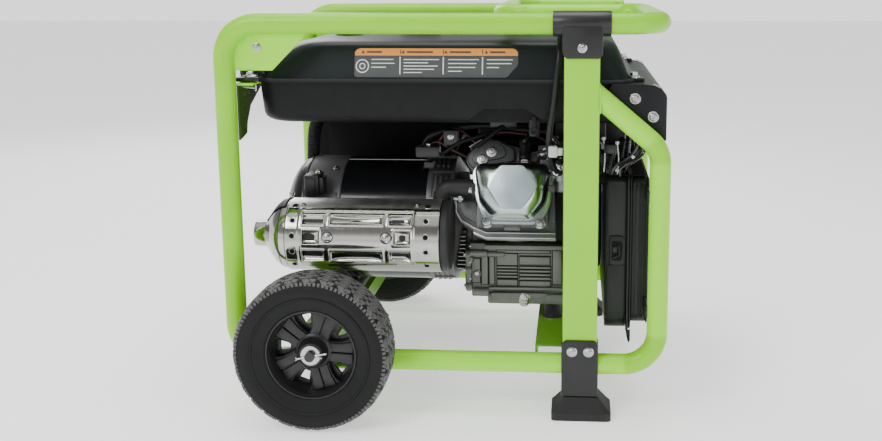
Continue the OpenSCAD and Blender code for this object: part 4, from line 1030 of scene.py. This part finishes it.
def wheel(side, prefix):
    """Pneumatic tyre with a zigzag block tread on a dished five-spoke rim."""
    place = toward((-202, side * 324, WHEEL_Z), (0, side, 0))
    tyre = Piece(TYRE, TREAD)
    section = TYRE_HALF + [(-z, r) for z, r in TYRE_HALF[-2::-1]] + [TYRE_HALF[0]]
    tyre.lathe(section, place, 120).on(1)
    pitch = 360 / TREAD_BLOCKS
    rows = [(-4.3, 4.3, 0), (5.9, 14.2, 1), (15.8, 24, 0), (25.6, 33.6, 1), (-14.2, -5.9, 1), (-24, -15.8, 0),
            (-33.6, -25.6, 1)]
    for z0, z1, odd in rows:
        for k in range(TREAD_BLOCKS):
            a = (k + odd * 0.5) * pitch
            slant = (0.32 if (k + odd) % 2 else -0.32) * pitch
            tread_block(tyre, place, a, a + pitch * 0.74, z0, z1, slant, 1.3 if k % 2 else -1.3)
    for k in range(TREAD_BLOCKS * 2):
        a = k * pitch / 2
        for z0, z1 in ((34.2, 36.4), (-36.4, -34.2)):
            tread_block(tyre, place, a, a + pitch * 0.3, z0, z1, 0)
    body = prefix + "_wheel"
    tyre.done(prefix + "_tyre_moulded", "tyre", prefix + "_tyre", body=body, weld=0.005, smooth=26)

    rim = Piece(RIM_BLACK)
    rim.lathe([(-27, 73.6), (27, 73.6), (28, 72.6), (27.6, 71), (25.5, 70), (23.5, 69.4), (22, 68.2),
               (17, 66.8), (10, 65.6), (2, 64.6), (-4, 64), (-8, 64), (-9, 66), (-20, 67.5), (-26, 69),
               (-27, 73.6)], place, 96)
    # Hub cone, its flange and the bore's inner end
    rim.lathe([(-32, 9), (-32, 20), (-31, 21), (-8, 21), (-8, 30), (4, 31), (7, 30), (8.6, 28.4), (10, 25),
               (14, 22), (24, 20), (26, 18.6), (26, 9)], place, 72)
    for k in range(5):
        turn = place @ turned(3 * side + 72 * k, "Z")
        web = [(24, -16.5), (34, -16), (44, -17), (54, -20), (60, -25), (65, -30), (66.5, -20), (67, 0),
               (66.5, 20), (65, 30), (60, 25), (54, 20), (44, 17), (34, 16), (24, 16.5)]
        rim.plate(web, -7, 3.5, 1.2, turn)
        for s in (1, -1):
            bar = [(26, 1.2), (63.6, 1.2), (64.6, 19), (58, 18.4), (48, 16), (38, 15), (26, 15)]
            rim.plate(corners(mirrored(bar, s), 1.5, 2), 3, 8.2, 1.3, turn)
            rim.plate(mirrored([(57, 20), (64.5, 20.4), (64, 27), (60.5, 24)], s), 3, 5.4, 0.9, turn)
        # Stiffening rib deep in the window
        rib = place @ turned(-33 * side + 72 * k, "Z")
        rim.plate([(22, -14), (42, -20), (42, 20), (22, 14)], -14, -8, 1.0, rib)
        for s in (-1, 1):
            rim.plate(mirrored([(41, 4), (63, 9), (61, 30), (41, 22)], s), -14, -8, 1.0, rib)
        rim.plate([(58, -12), (65.5, -14), (65.5, 14), (58, 12)], -14, -8, 1.0, rib)
    rim.done(prefix + "_rim_moulded", "black_plastic", prefix + "_rim", body=body, weld=0.005, smooth=28)

    keep = Piece(STEEL)
    for z0, z1, r in ((26.4, 29, 16.2), (-34.8, -32.5, 14)):
        keep.lathe([(z0, 8.2), (z0, r), (z1 - 0.6, r), (z1, r - 0.6), (z1, 8.2), (z0, 8.2)], place, 48)
    pin = [(-21, -5, 31), (-17, -4, 31), (-9, -2.4, 31), (9, 1.2, 31), (19, 3.0, 31), (27, 4.6, 31)]
    leg = [(8, 0.4, 31), (13, -0.6, 32.4), (20, -2.2, 33)]
    eye = [(-23, -2.2, 31), (-21, -5, 31), (-23.4, -7.2, 31)]
    for path, r, n in ((smooth_path(pin, 2), 1.7, 12), (smooth_path(leg, 2), 1.5, 12), (eye, 1.6, 10)):
        keep.tube([place @ Vector((x * -side, y, z)) for x, y, z in path], r, n)
    return keep.done(prefix + "_wheel_keepers", "bright_steel")


def wheels():
    near = wheel(-1, "near")
    wheel(1, "far")
    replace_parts(near, "wheel_retainers")


# ---------- alternator ----------


def corrugated(piece, path, r, pitch, n=20):
    """A convoluted hose along a smooth path."""
    pts = smooth_path(path, pitch / 4)
    wave = (1.0, 1.0, 0.86, 0.86)
    piece.tube(pts, [r * wave[k % 4] for k in range(len(pts))], n)


def alternator():
    """Stator, end brackets, dome and regulator module, with the looms that run from them."""
    axis = end(0, 0, SHAFT_Z)
    core = Piece(STATOR, STEEL, DARK_METAL)
    core.lathe([(-207, 78), (-207, 113), (-206, 114), (-52.5, 114), (-51.5, 113), (-51.5, 78), (-207, 78)],
               axis, 96)
    # Through bolts along the core and a thin bright rod near its top
    for a, m, r in ((9, 2, 3), (99, 1, 1.3), (189, 2, 3), (279, 2, 3)):
        out = Vector((0, cos(radians(a)), sin(radians(a))))
        at = Vector((0, 0, SHAFT_Z)) + out * 114.2
        core.on(m).tube([at + Vector((-207, 0, 0)), at + Vector((-51, 0, 0))], r, 12)
    core.done("stator_core", "black_paint", "stator")

    ends = Piece(BRACKET, STEEL, DARK_METAL)
    ends.lathe([(-266, 104), (-266, 114), (-264, 115.4), (-209, 115.4), (-207, 114), (-207, 104)], axis, 96)
    ends.lathe([(-273, 13), (-273, 113), (-272, 114.6), (-266, 114.6), (-266, 106), (-268, 106), (-268, 13)],
               axis, 96)
    ends.lathe([(-268, 13), (-268, 23), (-252, 24), (-252, 13)], axis, 40)
    for a in (28, 62, 150, 208, 240, 300):
        ends.block((108, -9, -262), (118, 9, -212), 2, axis @ turned(a, "Z"))
    # Drive-end bracket: cast shoulder with louvres, blending down to the crankcase
    ends.lathe([(-51.5, 106), (-51.5, 114.6), (-46, 115.6), (-42, 115.2), (-41, 113.4), (-10, 113.4),
                (-8, 114.8), (-4, 114.6), (12, 92), (12, 35), (0, 35), (0, 84), (-8, 106), (-51.5, 106)],
               axis, 96)
    for a in range(0, 360, 30):
        spot = axis @ turned(a + 15, "Z")
        for k in range(3):
            ends.block((111.5, -17, -38 + k * 9.4), (116.2, 17, -33 + k * 9.4), 1.2, spot)
        ends.block((108, -3, -44), (116.8, 3, -4), 1.2, axis @ turned(a, "Z"))
    for k in range(5):
        ends.block((90, -3, -8), (112 - 3 * abs(k - 2), 3, 22), 1.5, axis @ turned(116 + k * 12, "Z"))
    for side in SIDES:
        ends.blocks(((-262, side * 60, 140), (-204, side * 112, 156), 2.5),
                    ((-232, side * 76, 155), (-208, side * 106, 196), 2.5))
    ends.on(1)
    for a in (45, 135, 225, 315):
        ends.lathe([(-277, 0), (-277, 4), (-273, 4)], axis @ turned(a, "Z") @ shift(105, 0, 0), 12)
    ends.on(2).blocks(((-264, -128, 333), (-238, -84, 373), 2.5), ((-238, -124, 337), (-230, -98, 368), 1.5),
                      ((-262, -131, 340), (-244, -127, 368), 1.0))
    ends.on(1).bolt((-243, -104, 373), (0, 0, 1), 4.5, 5)
    ends.bolt((-222, -56, 371), (0, -0.45, 0.9), 4.2, 5)
    ends.done("alternator_end_brackets", "dark_casting", "alternator_brackets")

    dome = Piece(DOME, STEEL)
    profile = [(-272, 105), (-272, 114.4), (-275, 115), (-279, 114.2), (-288, 109), (-297, 101), (-305, 90),
               (-311, 78), (-315, 64), (-318, 48), (-319.5, 34), (-320, 0)]
    dome.lathe(profile, axis, 96)
    for k in range(-3, 4):
        dome.block((-323 + abs(k) * 0.6, -34 + abs(k) * 3, 268 + k * 16),
                   (-312, 34 - abs(k) * 3, 272 + k * 16), 1.2)
    dome.on(1)
    for a in (35, 145, 215, 325):
        c, h = cos(radians(a)), sin(radians(a))
        dome.bolt((-297, 101 * c, SHAFT_Z + 101 * h), (-0.55, 0.835 * c, 0.835 * h), 4.4, 4.5)
    dome.done("alternator_dome", "black_paint", "end_cover")

    # Regulator module on hangers behind the alternator; its extra-dark body is painted shadow under the tank
    box = Piece(MODULE_IN_SHADOW, BLACK, STEEL)
    box.block((-309, 150, 320), (28, 232, 468), 7, seg=3)
    box.block((-284, 147.5, 336), (14, 152, 454), 3)
    for k in range(17):
        box.block((-282 + k * 17.6, 230, 336), (-276 + k * 17.6, 238, 452), 1.4)
    for x in (-250, -40):
        box.on(1).blocks(((x, 234, 420), (x + 20, 237, 641), 0.8), ((x, 234, 634), (x + 20, 243, 637), 0.8))
        for z in (440, 460):
            box.on(2).bolt((x + 10, 238, z), (0, 1, 0), 4.5, 4)
    box.done("regulator_module", "black_plastic", "inverter_module")

    loom = Piece(CABLE, CABLE_GLOSS, STEEL)
    corrugated(loom, [(-288, 35, 366), (-288, 38, 390), (-288, 44, 410), (-288, 58, 430), (-287, 80, 443),
                      (-286, 110, 447), (-286, 152, 447)], 13, 4.2)
    loom.cable([(-20, 20, 381), (-12, 30, 400), (-6, 60, 412), (-6, 100, 410), (-6, 152, 400)], 3, 5, 14)
    loom.cable([(28, 196, 400), (60, 192, 420), (110, 186, 438), (170, 182, 450), (230, 176, 460),
                (285, 165, 466), (318, 155, 478), (332, 150, 500)], 4, 7, 14)
    loom.on(1)
    run = [(310, -172, 498), (316, -177, 482), (321, -183, 464), (323, -188, 446), (319, -192, 430),
           (308, -194, 418), (294, -195, 411), (285, -195, 404), (282, -195, 394)]
    corrugated(loom, run, 7, 3.4)
    corrugated(loom, [(x + 2, y + 20, z + 2) for x, y, z in run], 6, 3.4)
    for k, (dx, dy, r) in enumerate(((-9, -8, 3), (6, -10, 2.4), (-3, 9, 3.2), (11, 6, 2.6), (-14, 3, 2.2))):
        loose = [(x + dx * (1 + 0.35 * cos(i * 1.3 + k)), y + dy + 2 * sin(i * 1.7 + k), z + 2 * cos(i + k))
                 for i, (x, y, z) in enumerate(run)]
        loom.cable(loose, 3, r, 10)
    loom.on(2)
    for x, y, z in ((286, -204, 402), (312, -202, 424), (322, -196, 447)):
        loom.lathe([(-2.5, 8.6), (-2.5, 9.6), (2.5, 9.6), (2.5, 8.6)],
                   toward((x - 2, y + 9, z), (0.6, 0, 0.8)), 20)
    loom.done("wiring_harness", "rubber", "wiring_loom")


# ---------- panel ----------


def panel():
    """Moulded box between two flanges, with a rounded lower edge, ribs and a recessed latch."""
    case, near = Piece(PANEL, STEEL, RECESS_SHADE), front(-213)
    for x0, x1, y0, y1, z0, z1, r in ((265, 301, -213, 148, 142, 394, 26),
                                      (265.5, 300, -206, 141, 128, 200, 22),
                                      (301, 305, -222, 157, 124, 398, 30),
                                      (305.6, 309, -219, 154, 127, 396, 29),
                                      (309, 334, -214, 149, 140, 391, 24)):
        case.plate(rect(y0, y1, z0, z1, r, 6), 0, x1 - x0, 1.6, end(x0))
    # Steps and ribs on the side seen past the post
    for z0, z1 in ((294, 386), (150, 244)):
        case.plate(rect(268, 298, z0, z1, 5), 0, 1.6, 0.8, near)
    case.plate(corners([(272, 244), (296, 244), (299, 252), (299, 286), (293, 294), (272, 294)], 7), 0, 3,
               1.2, near)
    # Dark face inside the latch frame: painted shade of the recess
    case.on(2).plate(corners([(276, 251), (293, 251), (294.5, 284), (276, 286)], 6), 3, 3.4, 0, near)
    case.on(0).tube(rounded([(278, -217.2, 256), (290, -217.2, 262), (288, -217.2, 278)], [0, 5, 0]), 1.8, 10)
    case.plate(rect(277, 285, 266, 276, 2), 3, 5.4, 0.8, near)
    for x in (313, 320, 327):
        case.block((x, -216, 152), (x + 2.2, -213, 384), 0.9)
    # Pointed tab under the flange
    case.plate([(301, 130), (309, 130), (309, 112), (306, 107), (303, 118)], -2, 2, 0.6, front(-212))
    # Thin dark strip along the box's top: painted shade
    case.on(2).block((267, -205, 393), (332, 140, 394.6), 0.6)
    case.on(0)
    # Straps to the uprights
    for z in (170, 360):
        for y0, y1 in ((-264, -210), (146, 264)):
            case.block((330, y0, z), (333.6, y1, z + 20), 0.9)
    case.on(1)
    for y in (-258, 258):
        for z in (180, 370):
            case.bolt((333.6, y, z), (1, 0, 0), 4.6, 3)
    case.done("panel_case", "black_paint", "panel_box")

    face = Piece(PANEL)
    face.plate(rect(-214, 149, 141, 391, 10), 0, 2.6, 0.9, end(334))
    face.done("panel_front", "black_plastic", "panel_face")
    marks, outer = Piece(LABEL_GREY, STEEL), end(336.6)
    for y0, y1, z0, z1 in ((-156.4, -67.6, 263.6, 370.4), (53.6, 142.4, 263.6, 370.4),
                           (-148.4, -71.6, 173.6, 250.4), (56.6, 133.4, 173.6, 250.4)):
        marks.plate(rect(y0, y1, z0, z1, 4), 0, 0.25, 0, outer)
    marks.on(1)
    for y in (-205, 140):
        for z in (152, 380):
            marks.lathe([(0, 4.2), (1.4, 3.6), (1.8, 2), (1.8, 0)], outer @ shift(y, z, 0), 20)
    marks.done("panel_marks", "black_plastic")

    hood = Piece(HOOD)
    shape = [(263, 531), (272, 548.6), (326, 548.6), (340, 546.6), (352, 541), (358.4, 533), (360, 528),
             (360, 459.5), (358.6, 458), (347.4, 458), (345, 459.2)]
    n, wall = len(shape) - 2, 2.6
    verts = [(x, y, z) for y in (-240, 240) for x, z in shape[1:-1]]
    verts += [(x - (wall if x > 330 else 0), y, z - (wall if x < 356 else 0)) for x, y, z in verts]
    faces = []
    for k in range(n - 1):
        faces += [[k, k + 1, n + k + 1, n + k], [2 * n + k, 3 * n + k, 3 * n + k + 1, 2 * n + k + 1]]
    faces += [[0, n, 3 * n, 2 * n], [n - 1, 3 * n - 1, 4 * n - 1, 2 * n - 1]]
    for k in range(n - 1):
        faces += [[k, k + 1, 2 * n + k + 1, 2 * n + k], [n + k, n + k + 1, 3 * n + k + 1, 3 * n + k]]
    hood.add(verts, faces)
    cheeks = Piece(HOOD, HOOD_EDGE)
    for side in SIDES:
        cheeks.on(0).plate(flipped(shape, side), -3, 0, 0.9, flank(side, 241))
        # A pale strip along each cheek's upper corner edge
        cheeks.on(1).block((337, side * 236, 545.4), (353, side * 240.6, 546.6), 0.4, shift(345, 0, 546)
                           @ turned(24, "Y") @ shift(-345, 0, -546))
    cheeks.done("console_cheeks", "black_paint")
    o = hood.done("console_hood", "black_paint", "panel_hood")
    cutter = Piece()
    cutter.block((345, -31, 482), (366, 1, 512), 0)
    cutter.solid([(-6, 12.1), (20, 12.1)], end(350) @ shift(90, 497, 0), 40)
    carve(o, cutter)


# ---------- plugs, hoses and small parts ----------


def small_parts():
    """Plug and lead, hoses, fuel and air parts, starter motor, looms, fuel cap and rubber mounts."""
    plug = Piece(CERAMIC, STEEL)
    place = TILT @ shift(18, 22, 178) @ turned(-90, "X")
    plug.on(1).solid([(0, 7), (28, 7), (30, 8.5)], place, 24)
    plug.hexagon(11, 30.5, 40.5, place)
    plug.on(0).lathe([(40, 7.4), (42, 7), (44, 5.5), (60, 5), (62, 3.4), (62, 0)], place, 24)
    plug.done("spark_plug_body", "ceramic", "spark_plug")

    cap = Piece(RUBBER_GLOSS, CABLE, DARK_METAL)
    cap.lathe([(44, 5.8), (44, 9.6), (45.5, 10.6), (50, 10.6), (51.5, 9.8), (70, 9.4), (76, 10.2), (80, 9),
               (81.6, 5), (82, 0)], place, 32)
    cap.tube(smooth_path([place @ Vector((0, 0, 74)), (127, -147, 440), (134, -139, 449), (146, -134, 455),
                          (160, -130, 455), (174, -127, 448), (184, -123, 437), (192, -118, 424),
                          (200, -114, 410)], 3), 3.6, 14)
    cap.on(2).block((203, -98, 356), (222, -70, 380), 2)
    cap.done("plug_cap_and_lead", "rubber", "plug_lead")

    vent = Piece(RUBBER_GLOSS, STEEL)
    route = [(189, -122, 634), (189, -145, 637), (189, -175, 639), (189, -203, 631), (188, -224, 612),
             (187, -236, 588), (184, -240, 562), (181, -240, 532), (177, -238, 502), (173, -235, 474),
             (171, -229, 449), (173, -217, 427), (178, -199, 407), (184, -178, 394), (189, -158, 388)]
    path = smooth_path(route, 4)
    vent.tube(path, 5, 18)
    # A cuff and a bright clip at each end
    for m, k, half, r in ((0, 2, 3, 5.2), (0, -3, 3, 5.2), (1, 4, 1.6, 5.6), (1, -6, 1.6, 5.6)):
        place = toward(path[k], path[k + 1] - path[k])
        vent.on(m).lathe([(-half, r), (-half, r + 1), (half, r + 1), (half, r)], place, 20)
    vent.done("breather_hose", "rubber", "vent_hose")

    lever = Piece(PLASTIC, STEEL)
    knob = toward((146, -206, 468), (0, -1, 0))
    lever.lathe([(0, 3.2), (0, 7), (5.4, 7), (6.4, 6), (6.4, 3.4)], knob, 28)
    lever.plate(corners([(-4.6, 0), (4.6, 0), (3.4, 25), (-3.4, 25)], 2), 0.4, 5.4, 1, knob)
    lever.done("fuel_tap_lever", "black_plastic", "fuel_valve", body="fuel_lever")

    carb, throat = Piece(CAST, DARK_METAL, STEEL), shift(189, -140, 0)
    carb.block((181, -158, 372), (198, -122.5, 404), 3)
    carb.solid([(352, 8.5), (354, 10), (371, 10.6), (373, 12)], throat, 28)
    carb.solid([(404, 2.5), (412, 2.5)], throat, 16)
    carb.tube([(181, -150, 380), (176, -150, 380)], 3, 12)
    carb.on(2).bolt((189, -158, 396), (0, -1, 0), 3, 3)
    carb.done("carburettor_casting", "bare_casting", "carburettor")

    choke = Piece(PLASTIC)
    choke.lathe([(406, 2.7), (406, 6), (409.4, 6), (410, 5.4), (410, 2.7), (406, 2.7)], throat, 28)
    choke.plate(corners([(187, -144), (191, -144), (191.4, -172), (186.6, -172)], 1), 406.4, 409.6, 0.8)
    choke.solid([(405.6, 4.6), (407, 5.2), (409.4, 5), (410.4, 3.6)], shift(189, -176, 0), 24)
    choke.done("choke_arm", "black_plastic", "choke_lever", body="choke")

    cleaner = Piece(PLASTIC, STEEL)
    cleaner.block((32, -40, 404), (190, 68, 428), 8, seg=4)
    cleaner.block((36, -36, 424), (186, 64, 462), 12, seg=4)
    for k in range(7):
        cleaner.block((56 + k * 18, -34, 460), (62 + k * 18, 60, 463.4), 1.4)
    cleaner.blocks(((180, -122, 384), (198, -34, 402), 4), ((180, -60, 400), (198, -34, 420), 4))
    cleaner.on(1)
    for x in (50, 172):
        cleaner.block((x, -42, 412), (x + 12, -38.6, 434), 1)
    cleaner.done("air_cleaner_moulding", "black_plastic", "air_cleaner")

    motor = Piece(HOT_BLACK, STEEL)
    drum = end(0, 112, 378)
    motor.solid([(98, 30), (100, 33), (112, 33), (112, 31.5), (184, 31.5), (184, 33), (198, 33), (200, 30)],
                drum, 56)
    motor.lathe([(104, 0), (104, 11), (106, 12.4), (158, 12.4), (162, 9), (164, 0)], end(0, 112, 424), 32)
    motor.on(1)
    for a in (40, 220):
        c, h = 33 * cos(radians(a)), 33 * sin(radians(a))
        motor.tube([drum @ Vector((c, h, z)) for z in (100, 198)], 2.2, 10)
    motor.done("starter_motor_body", "black_paint", "starter_motor")

    # Harness runs, a relay, connectors and clips between the tank and the alternator
    bits = Piece(CABLE, WIRE_RED, WIRE_BROWN, CONNECTOR, DARK_METAL, STEEL)
    runs = ((1, 2.4, [(-44, -60, 398), (-34, -84, 414), (-20, -92, 440), (0, -84, 452), (16, -86, 446),
                      (38, -92, 428)]),
            (2, 2.2, [(-58, -60, 404), (-50, -88, 418), (-30, -98, 430), (-8, -96, 418), (26, -96, 400),
                      (40, -92, 384)]),
            (0, 5, [(-66, -40, 396), (-56, -70, 420), (-40, -86, 440), (0, -78, 452), (60, -76, 456),
                    (112, -92, 452), (170, -96, 452)]),
            (0, 3.6, [(-60, -60, 372), (-46, -92, 396), (-20, -104, 410), (12, -102, 430), (58, -92, 444)]),
            (0, 4.4, [(20, -86, 392), (40, -104, 420), (70, -104, 446), (92, -92, 462)]),
            (1, 2.0, [(56, -90, 438), (84, -100, 448), (118, -100, 446), (152, -104, 440), (176, -108, 424)]))
    for m, r, path in runs:
        bits.on(m).cable(path, 4, r, 12)
    bits.on(4).blocks(((-66, -116, 404), (-24, -92, 424), 3), ((-18, -104, 424), (8, -84, 452), 3),
                      ((64, -98, 456), (112, -70, 474), 3))
    bits.on(5).bolt((-44, -104, 424), (0, 0, 1), 4, 4)
    bits.bolt((-5, -104, 440), (0, -1, 0), 4, 4)
    bits.bolt((150, -60, 464), (0, -0.6, 0.8), 4.4, 4)
    bits.on(3).blocks(((171, -246, 430), (186, -234, 448), 2.5), ((184, -244, 433), (194, -236, 445), 1.5))
    bits.on(4).blocks(((172, -243, 373), (183, -235, 384), 1.5), ((-52, -112, 384), (-34, -98, 396), 2))
    bits.done("harness_runs_and_clips", "rubber")

    # Throttle link and its plate right of the head, and a smooth pipe beyond it
    link = Piece(DARK_METAL, STEEL, RUBBER_GLOSS)
    link.cable([(118, -120, 404), (140, -128, 416), (168, -132, 420), (182, -136, 408)], 3, 2.2, 10)
    link.block((150, -126, 396), (178, -118, 430), 2)
    link.on(1).bolt((164, -126, 420), (0, -1, 0), 4.6, 4)
    link.bolt((170, -126, 404), (0, -1, 0), 4, 4)
    link.on(2).cable([(252, -132, 372), (262, -150, 378), (276, -164, 382), (292, -170, 380)], 3, 8, 16)
    link.done("throttle_link_and_pipe", "dark_casting")

    # Hoses, plugs and dip rods gathered over the panel box
    top = Piece(CABLE_GLOSS, CABLE, STEEL, DARK_METAL)
    for k in range(7):
        x = 272 + (k % 4) * 15
        y = -196 + k * 42
        top.on(k % 2)
        arch = [(x, y, 394), (x + 3, y + 4, 418), (x + 8 - k, y + 12, 436 + 5 * (k % 3)),
                (x + 4, y + 30, 428), (x - 2, y + 44, 396)]
        corrugated(top, arch, 6.5 if k % 2 else 5, 3.4, 14)
    top.on(2)
    for x, y, z0, z1 in ((262, -196, 398, 452), (284, -204, 396, 446)):
        top.tube(smooth_path([(x, y, z0), (x + 1.5, y, (z0 + z1) / 2), (x - 1, y, z1)], 6), 1.5, 10)
        top.solid([(0, 3.6), (5, 3.6), (6, 2.6)], shift(x - 1, y, z1), 16)
    # Dark blocks among the hoses; the two large ones fill the space under the tank with dark, as painted
    # shade
    top.on(3).blocks(((262, -206, 430), (284, -184, 446), 2.5), ((256, -170, 404), (280, -120, 424), 4),
                     ((176, -40, 420), (306, 30, 486), 8), ((196, -96, 436), (268, -60, 480), 6))
    top.done("panel_top_harness", "rubber")

    # Fuel cap with its grip ribs
    lid, middle = Piece(PLASTIC), shift(-70, 0, 619)
    lid.lathe([(-0.6, 27.2), (-0.6, 35), (0.4, 36), (14, 36), (17, 34), (18, 30), (18, 0)], middle, 72)
    for k in range(24):
        lid.block((34.6, -2.2, 0.6), (37.8, 2.2, 15), 1, middle @ turned(15 * k, "Z"))
    lid.plate(rect(-26, 26, -5, 5, 4), 17.6, 20.4, 1.2, middle)
    lid.done("fuel_cap_ribbed", "black_plastic", "fuel_cap", body="cap")

    oil = Piece(STEEL, CASE)
    oil.bolt((125, -118, 146), (0, -1, 0), 7.4, 8.5, 1.35)
    oil.on(1).solid([(0, 7.5), (2, 7.5), (3, 6.4), (5, 6.2), (6, 5)], toward((41, -112, 194), (0, -1, 0)), 28)
    oil.done("drain_plug_and_dipstick", "bright_steel", "oil_plugs")

    mounts = Piece(RUBBER, STEEL)
    for side in SIDES:
        for x in (-238, 176):
            at = shift(x, side * 95, 0)
            mounts.on(0).solid([(112, 16.5), (114, 18), (120, 16), (126, 15), (132, 16), (138, 18),
                                (140, 16.5)], at, 40)
            mounts.on(1).lathe([(112, 18.4), (112, 19), (113.6, 19), (113.6, 0)], at, 32)
    mounts.done("engine_rubber_mounts", "rubber", "rubber_mounts")


# ---------- socket panel's parts and the far side ----------

PANEL_X = 337  # outer face of the socket panel


def flap(side, y):
    """A sprung cover over a pair of outlets: rounded plate, raised frame, pull lip and hinge barrel."""
    x = PANEL_X + 4.6
    cover = Piece(PLASTIC, DARK_METAL)
    cover.plate(rect(y - 4, y + 80, 272, 347, 5), 0, 3, 0.9, end(x))
    cover.plate(rect(y + 11, y + 65, 345, 356, 1), 0, 3, 0.6, end(x))
    cover.plate(rect(y + 5, y + 71, 281, 339, 5), 2.6, 4, 0.6, end(x))
    cover.block((x + 2, y + 26, 272.5), (x + 8, y + 50, 277), 1.2)
    cover.lathe([(y + 11, 2.6), (y + 11, 4.5), (y + 65, 4.5), (y + 65, 2.6), (y + 11, 2.6)],
                toward((PANEL_X + 6, 0, 356), (0, 1, 0)), 24)
    cover.done(side + "_flap_moulded", "black_plastic", side + "_outlet_flap", body=side + "_flap")


def panel_parts():
    """Outlets, flaps, rocker, key and button on the right-hand end."""
    outlets = Piece(PLASTIC, RECESS_SHADE, STEEL)
    for y in (-150, 60):
        outlets.on(0).plate(rect(y, y + 76, 276, 346, 4), 0, 4, 0.5, end(PANEL_X))
        for a, b in ((-3, 9), (67, 79)):
            outlets.block((PANEL_X, y + a, 351), (PANEL_X + 10, y + b, 361), 1.6)
        for middle in (y + 20, y + 56):
            outlets.on(2).solid([(3.9, 2), (4.4, 1.6)], end(PANEL_X) @ shift(y + 38, 311, 0), 20)
            # Dark ring, pin slots and earth hole of each socket: painted shade in them
            outlets.on(1)
            face = end(PANEL_X) @ shift(middle, 311, 0)
            outlets.lathe(rect(3.9, 4.25, 15.5, 14.5), face, 40)
            for across in (-6.4, 6.4):
                outlets.block((across - 1.2, -1, 3.9), (across + 1.2, 8, 4.3), 0.1, face)
            outlets.solid([(3.9, 2.6), (4.3, 2.6)], face @ shift(0, -7, 0), 20)
    for y in (-110, 95):
        face = end(PANEL_X) @ shift(y, 212, 0)
        outlets.on(0).lathe([(0, 30), (5.6, 30), (7, 28.6), (7, 24.4), (6.4, 23.4), (3, 23), (3, 0)], face,
                            64)
        outlets.lathe([(2.9, 9), (4.6, 9), (5, 8.4), (5, 0)], face, 40)
        # Dark arcs of the twist-lock slots: painted shade in them
        outlets.on(1)
        for k in range(4):
            arc = [(15.5 * cos(radians(90 * k + a)), 15.5 * sin(radians(90 * k + a)))
                   for a in range(20, 76, 11)]
            strip(outlets, arc, 3, 2.9, 3.3, face)
        outlets.on(2)
        for a in (45, 135, 225, 315):
            outlets.bolt(face @ Vector((36 * cos(radians(a)), 36 * sin(radians(a)), 0.6)), (1, 0, 0), 2.2, 2)
    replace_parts(outlets.done("outlet_faces", "black_plastic"), "socket_outlets")
    flap("left", -150)
    flap("right", 60)

    rocker = Piece(PLASTIC, LABEL_WHITE)
    side = toward((353, -15, 497), (0, 1, 0))
    rocker.lathe([(-12, 3.1), (-12, 9), (12, 9), (12, 3.1), (-12, 3.1)], side, 32)
    rocker.blocks(((353.6, -27, 486), (361.4, -3, 497), 2), ((353.6, -27, 497), (362, -3, 508), 2.4))
    rocker.on(1).block((361.6, -18, 501.4), (362.1, -12, 502.8), 0.1)
    rocker.done("rocker_moulded", "black_plastic", "main_breaker", body="breaker")

    key = Piece(STEEL, DARK_METAL, PLASTIC)
    barrel = end(346, 90, 497)
    key.solid([(0, 12), (14.6, 12), (16, 10.6)], barrel, 48)
    key.on(1).lathe([(15.9, 6.6), (16.4, 6.2), (16.4, 0)], barrel, 36)
    key.on(2).block((-3, -9, 15), (3, 9, 20), 1.6, barrel)
    key.done("key_and_barrel", "bright_steel", "key_switch", body="key")

    button = Piece(RED)
    push = end(331, -20, 342)
    button.lathe([(0, 0), (0, 7.1), (10.8, 7.1), (12, 6), (12, 4.4), (11.5, 0)], push, 40)
    button.done("reset_cap", "red_plastic", "reset_button", body="reset")


def far_side():
    """Battery with its tray strap and leads, and the crankcase's far face."""
    cell, z0 = Piece(PLASTIC, CABLE_GLOSS, WIRE_RED, STEEL), 115  # z0: the tray's floor
    cell.block((62, 164, z0), (198, 234, 238), 3, seg=3)
    cell.block((60, 162, 228), (200, 236, 250), 3.5, seg=3)
    cell.block((70, 176, 248), (176, 222, 251.4), 1.2)
    for k in range(9):
        cell.block((72 + k * 13, 233, z0 + 8), (78 + k * 13, 236, 224), 1)
    for k in range(6):
        cell.solid([(250, 6), (252.4, 5.4)], shift(82 + k * 16, 199, 0), 20)
    for y, m in ((176, 2), (222, 1)):
        cell.on(3).solid([(250, 6), (258, 5.4), (259, 4.6)], shift(190, y, 0), 24)
        cell.on(m).block((181, y - 8, 252), (199, y + 8, 257), 1.6)
    cell.on(1).block((120, 160, 250), (136, 238, 252.6), 0.8)
    for y in (159.6, 236.2):
        cell.block((120, y, z0), (136, y + 2.2, 252), 0.6)
    cell.done("battery_case", "black_plastic", "battery")

    back = Piece(CASE, STEEL)
    away = toward((0, 120, 0), (0, 1, 0))
    back.plate(corners([(-186, 162), (-44, 162), (-44, 280), (-70, 292), (-160, 292), (-186, 276)], 8), 0, 6,
               2, away)
    for k in range(6):
        back.block((56 + k * 21, 125, 174), (61 + k * 21, 130, 262), 1.4)
    back.block((50, 125, 264), (180, 130, 269), 1.4)
    back.solid([(0, 15), (8, 14), (12, 12)], toward((150, 122, 284), (0, 1, 0.3)), 28)
    back.on(1)
    for x, z in ((52, 170), (178, 170), (52, 274), (176, 274), (115, 170)):
        back.bolt((x, 125.5, z), (0, 1, 0), 4, 4)
    back.done("crankcase_far_cover", "dark_casting")


# ---------- the scene ----------

place_camera()
studio()

# New finishes for the CAD nodes that stay: two have their own, and the rest go by their material
# The crossmembers' dimmed lime is painted shade
own_finish = {"axle": BLACK, "crossmembers": LIME_HALF_SHADE}
for name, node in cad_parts.items():
    for slot in node.material_slots:
        base = (slot.material.name if slot.material else "").split(".")[0]
        slot.material = own_finish.get(name, FINISHES.get(base, BLACK))

# The detailed pieces
for build in (muffler, valve_cover, head_shroud, engine_block, tank, tank_label, wheels, tank_hangers,
              frame_details, alternator, panel, small_parts, panel_parts, far_side):
    build()
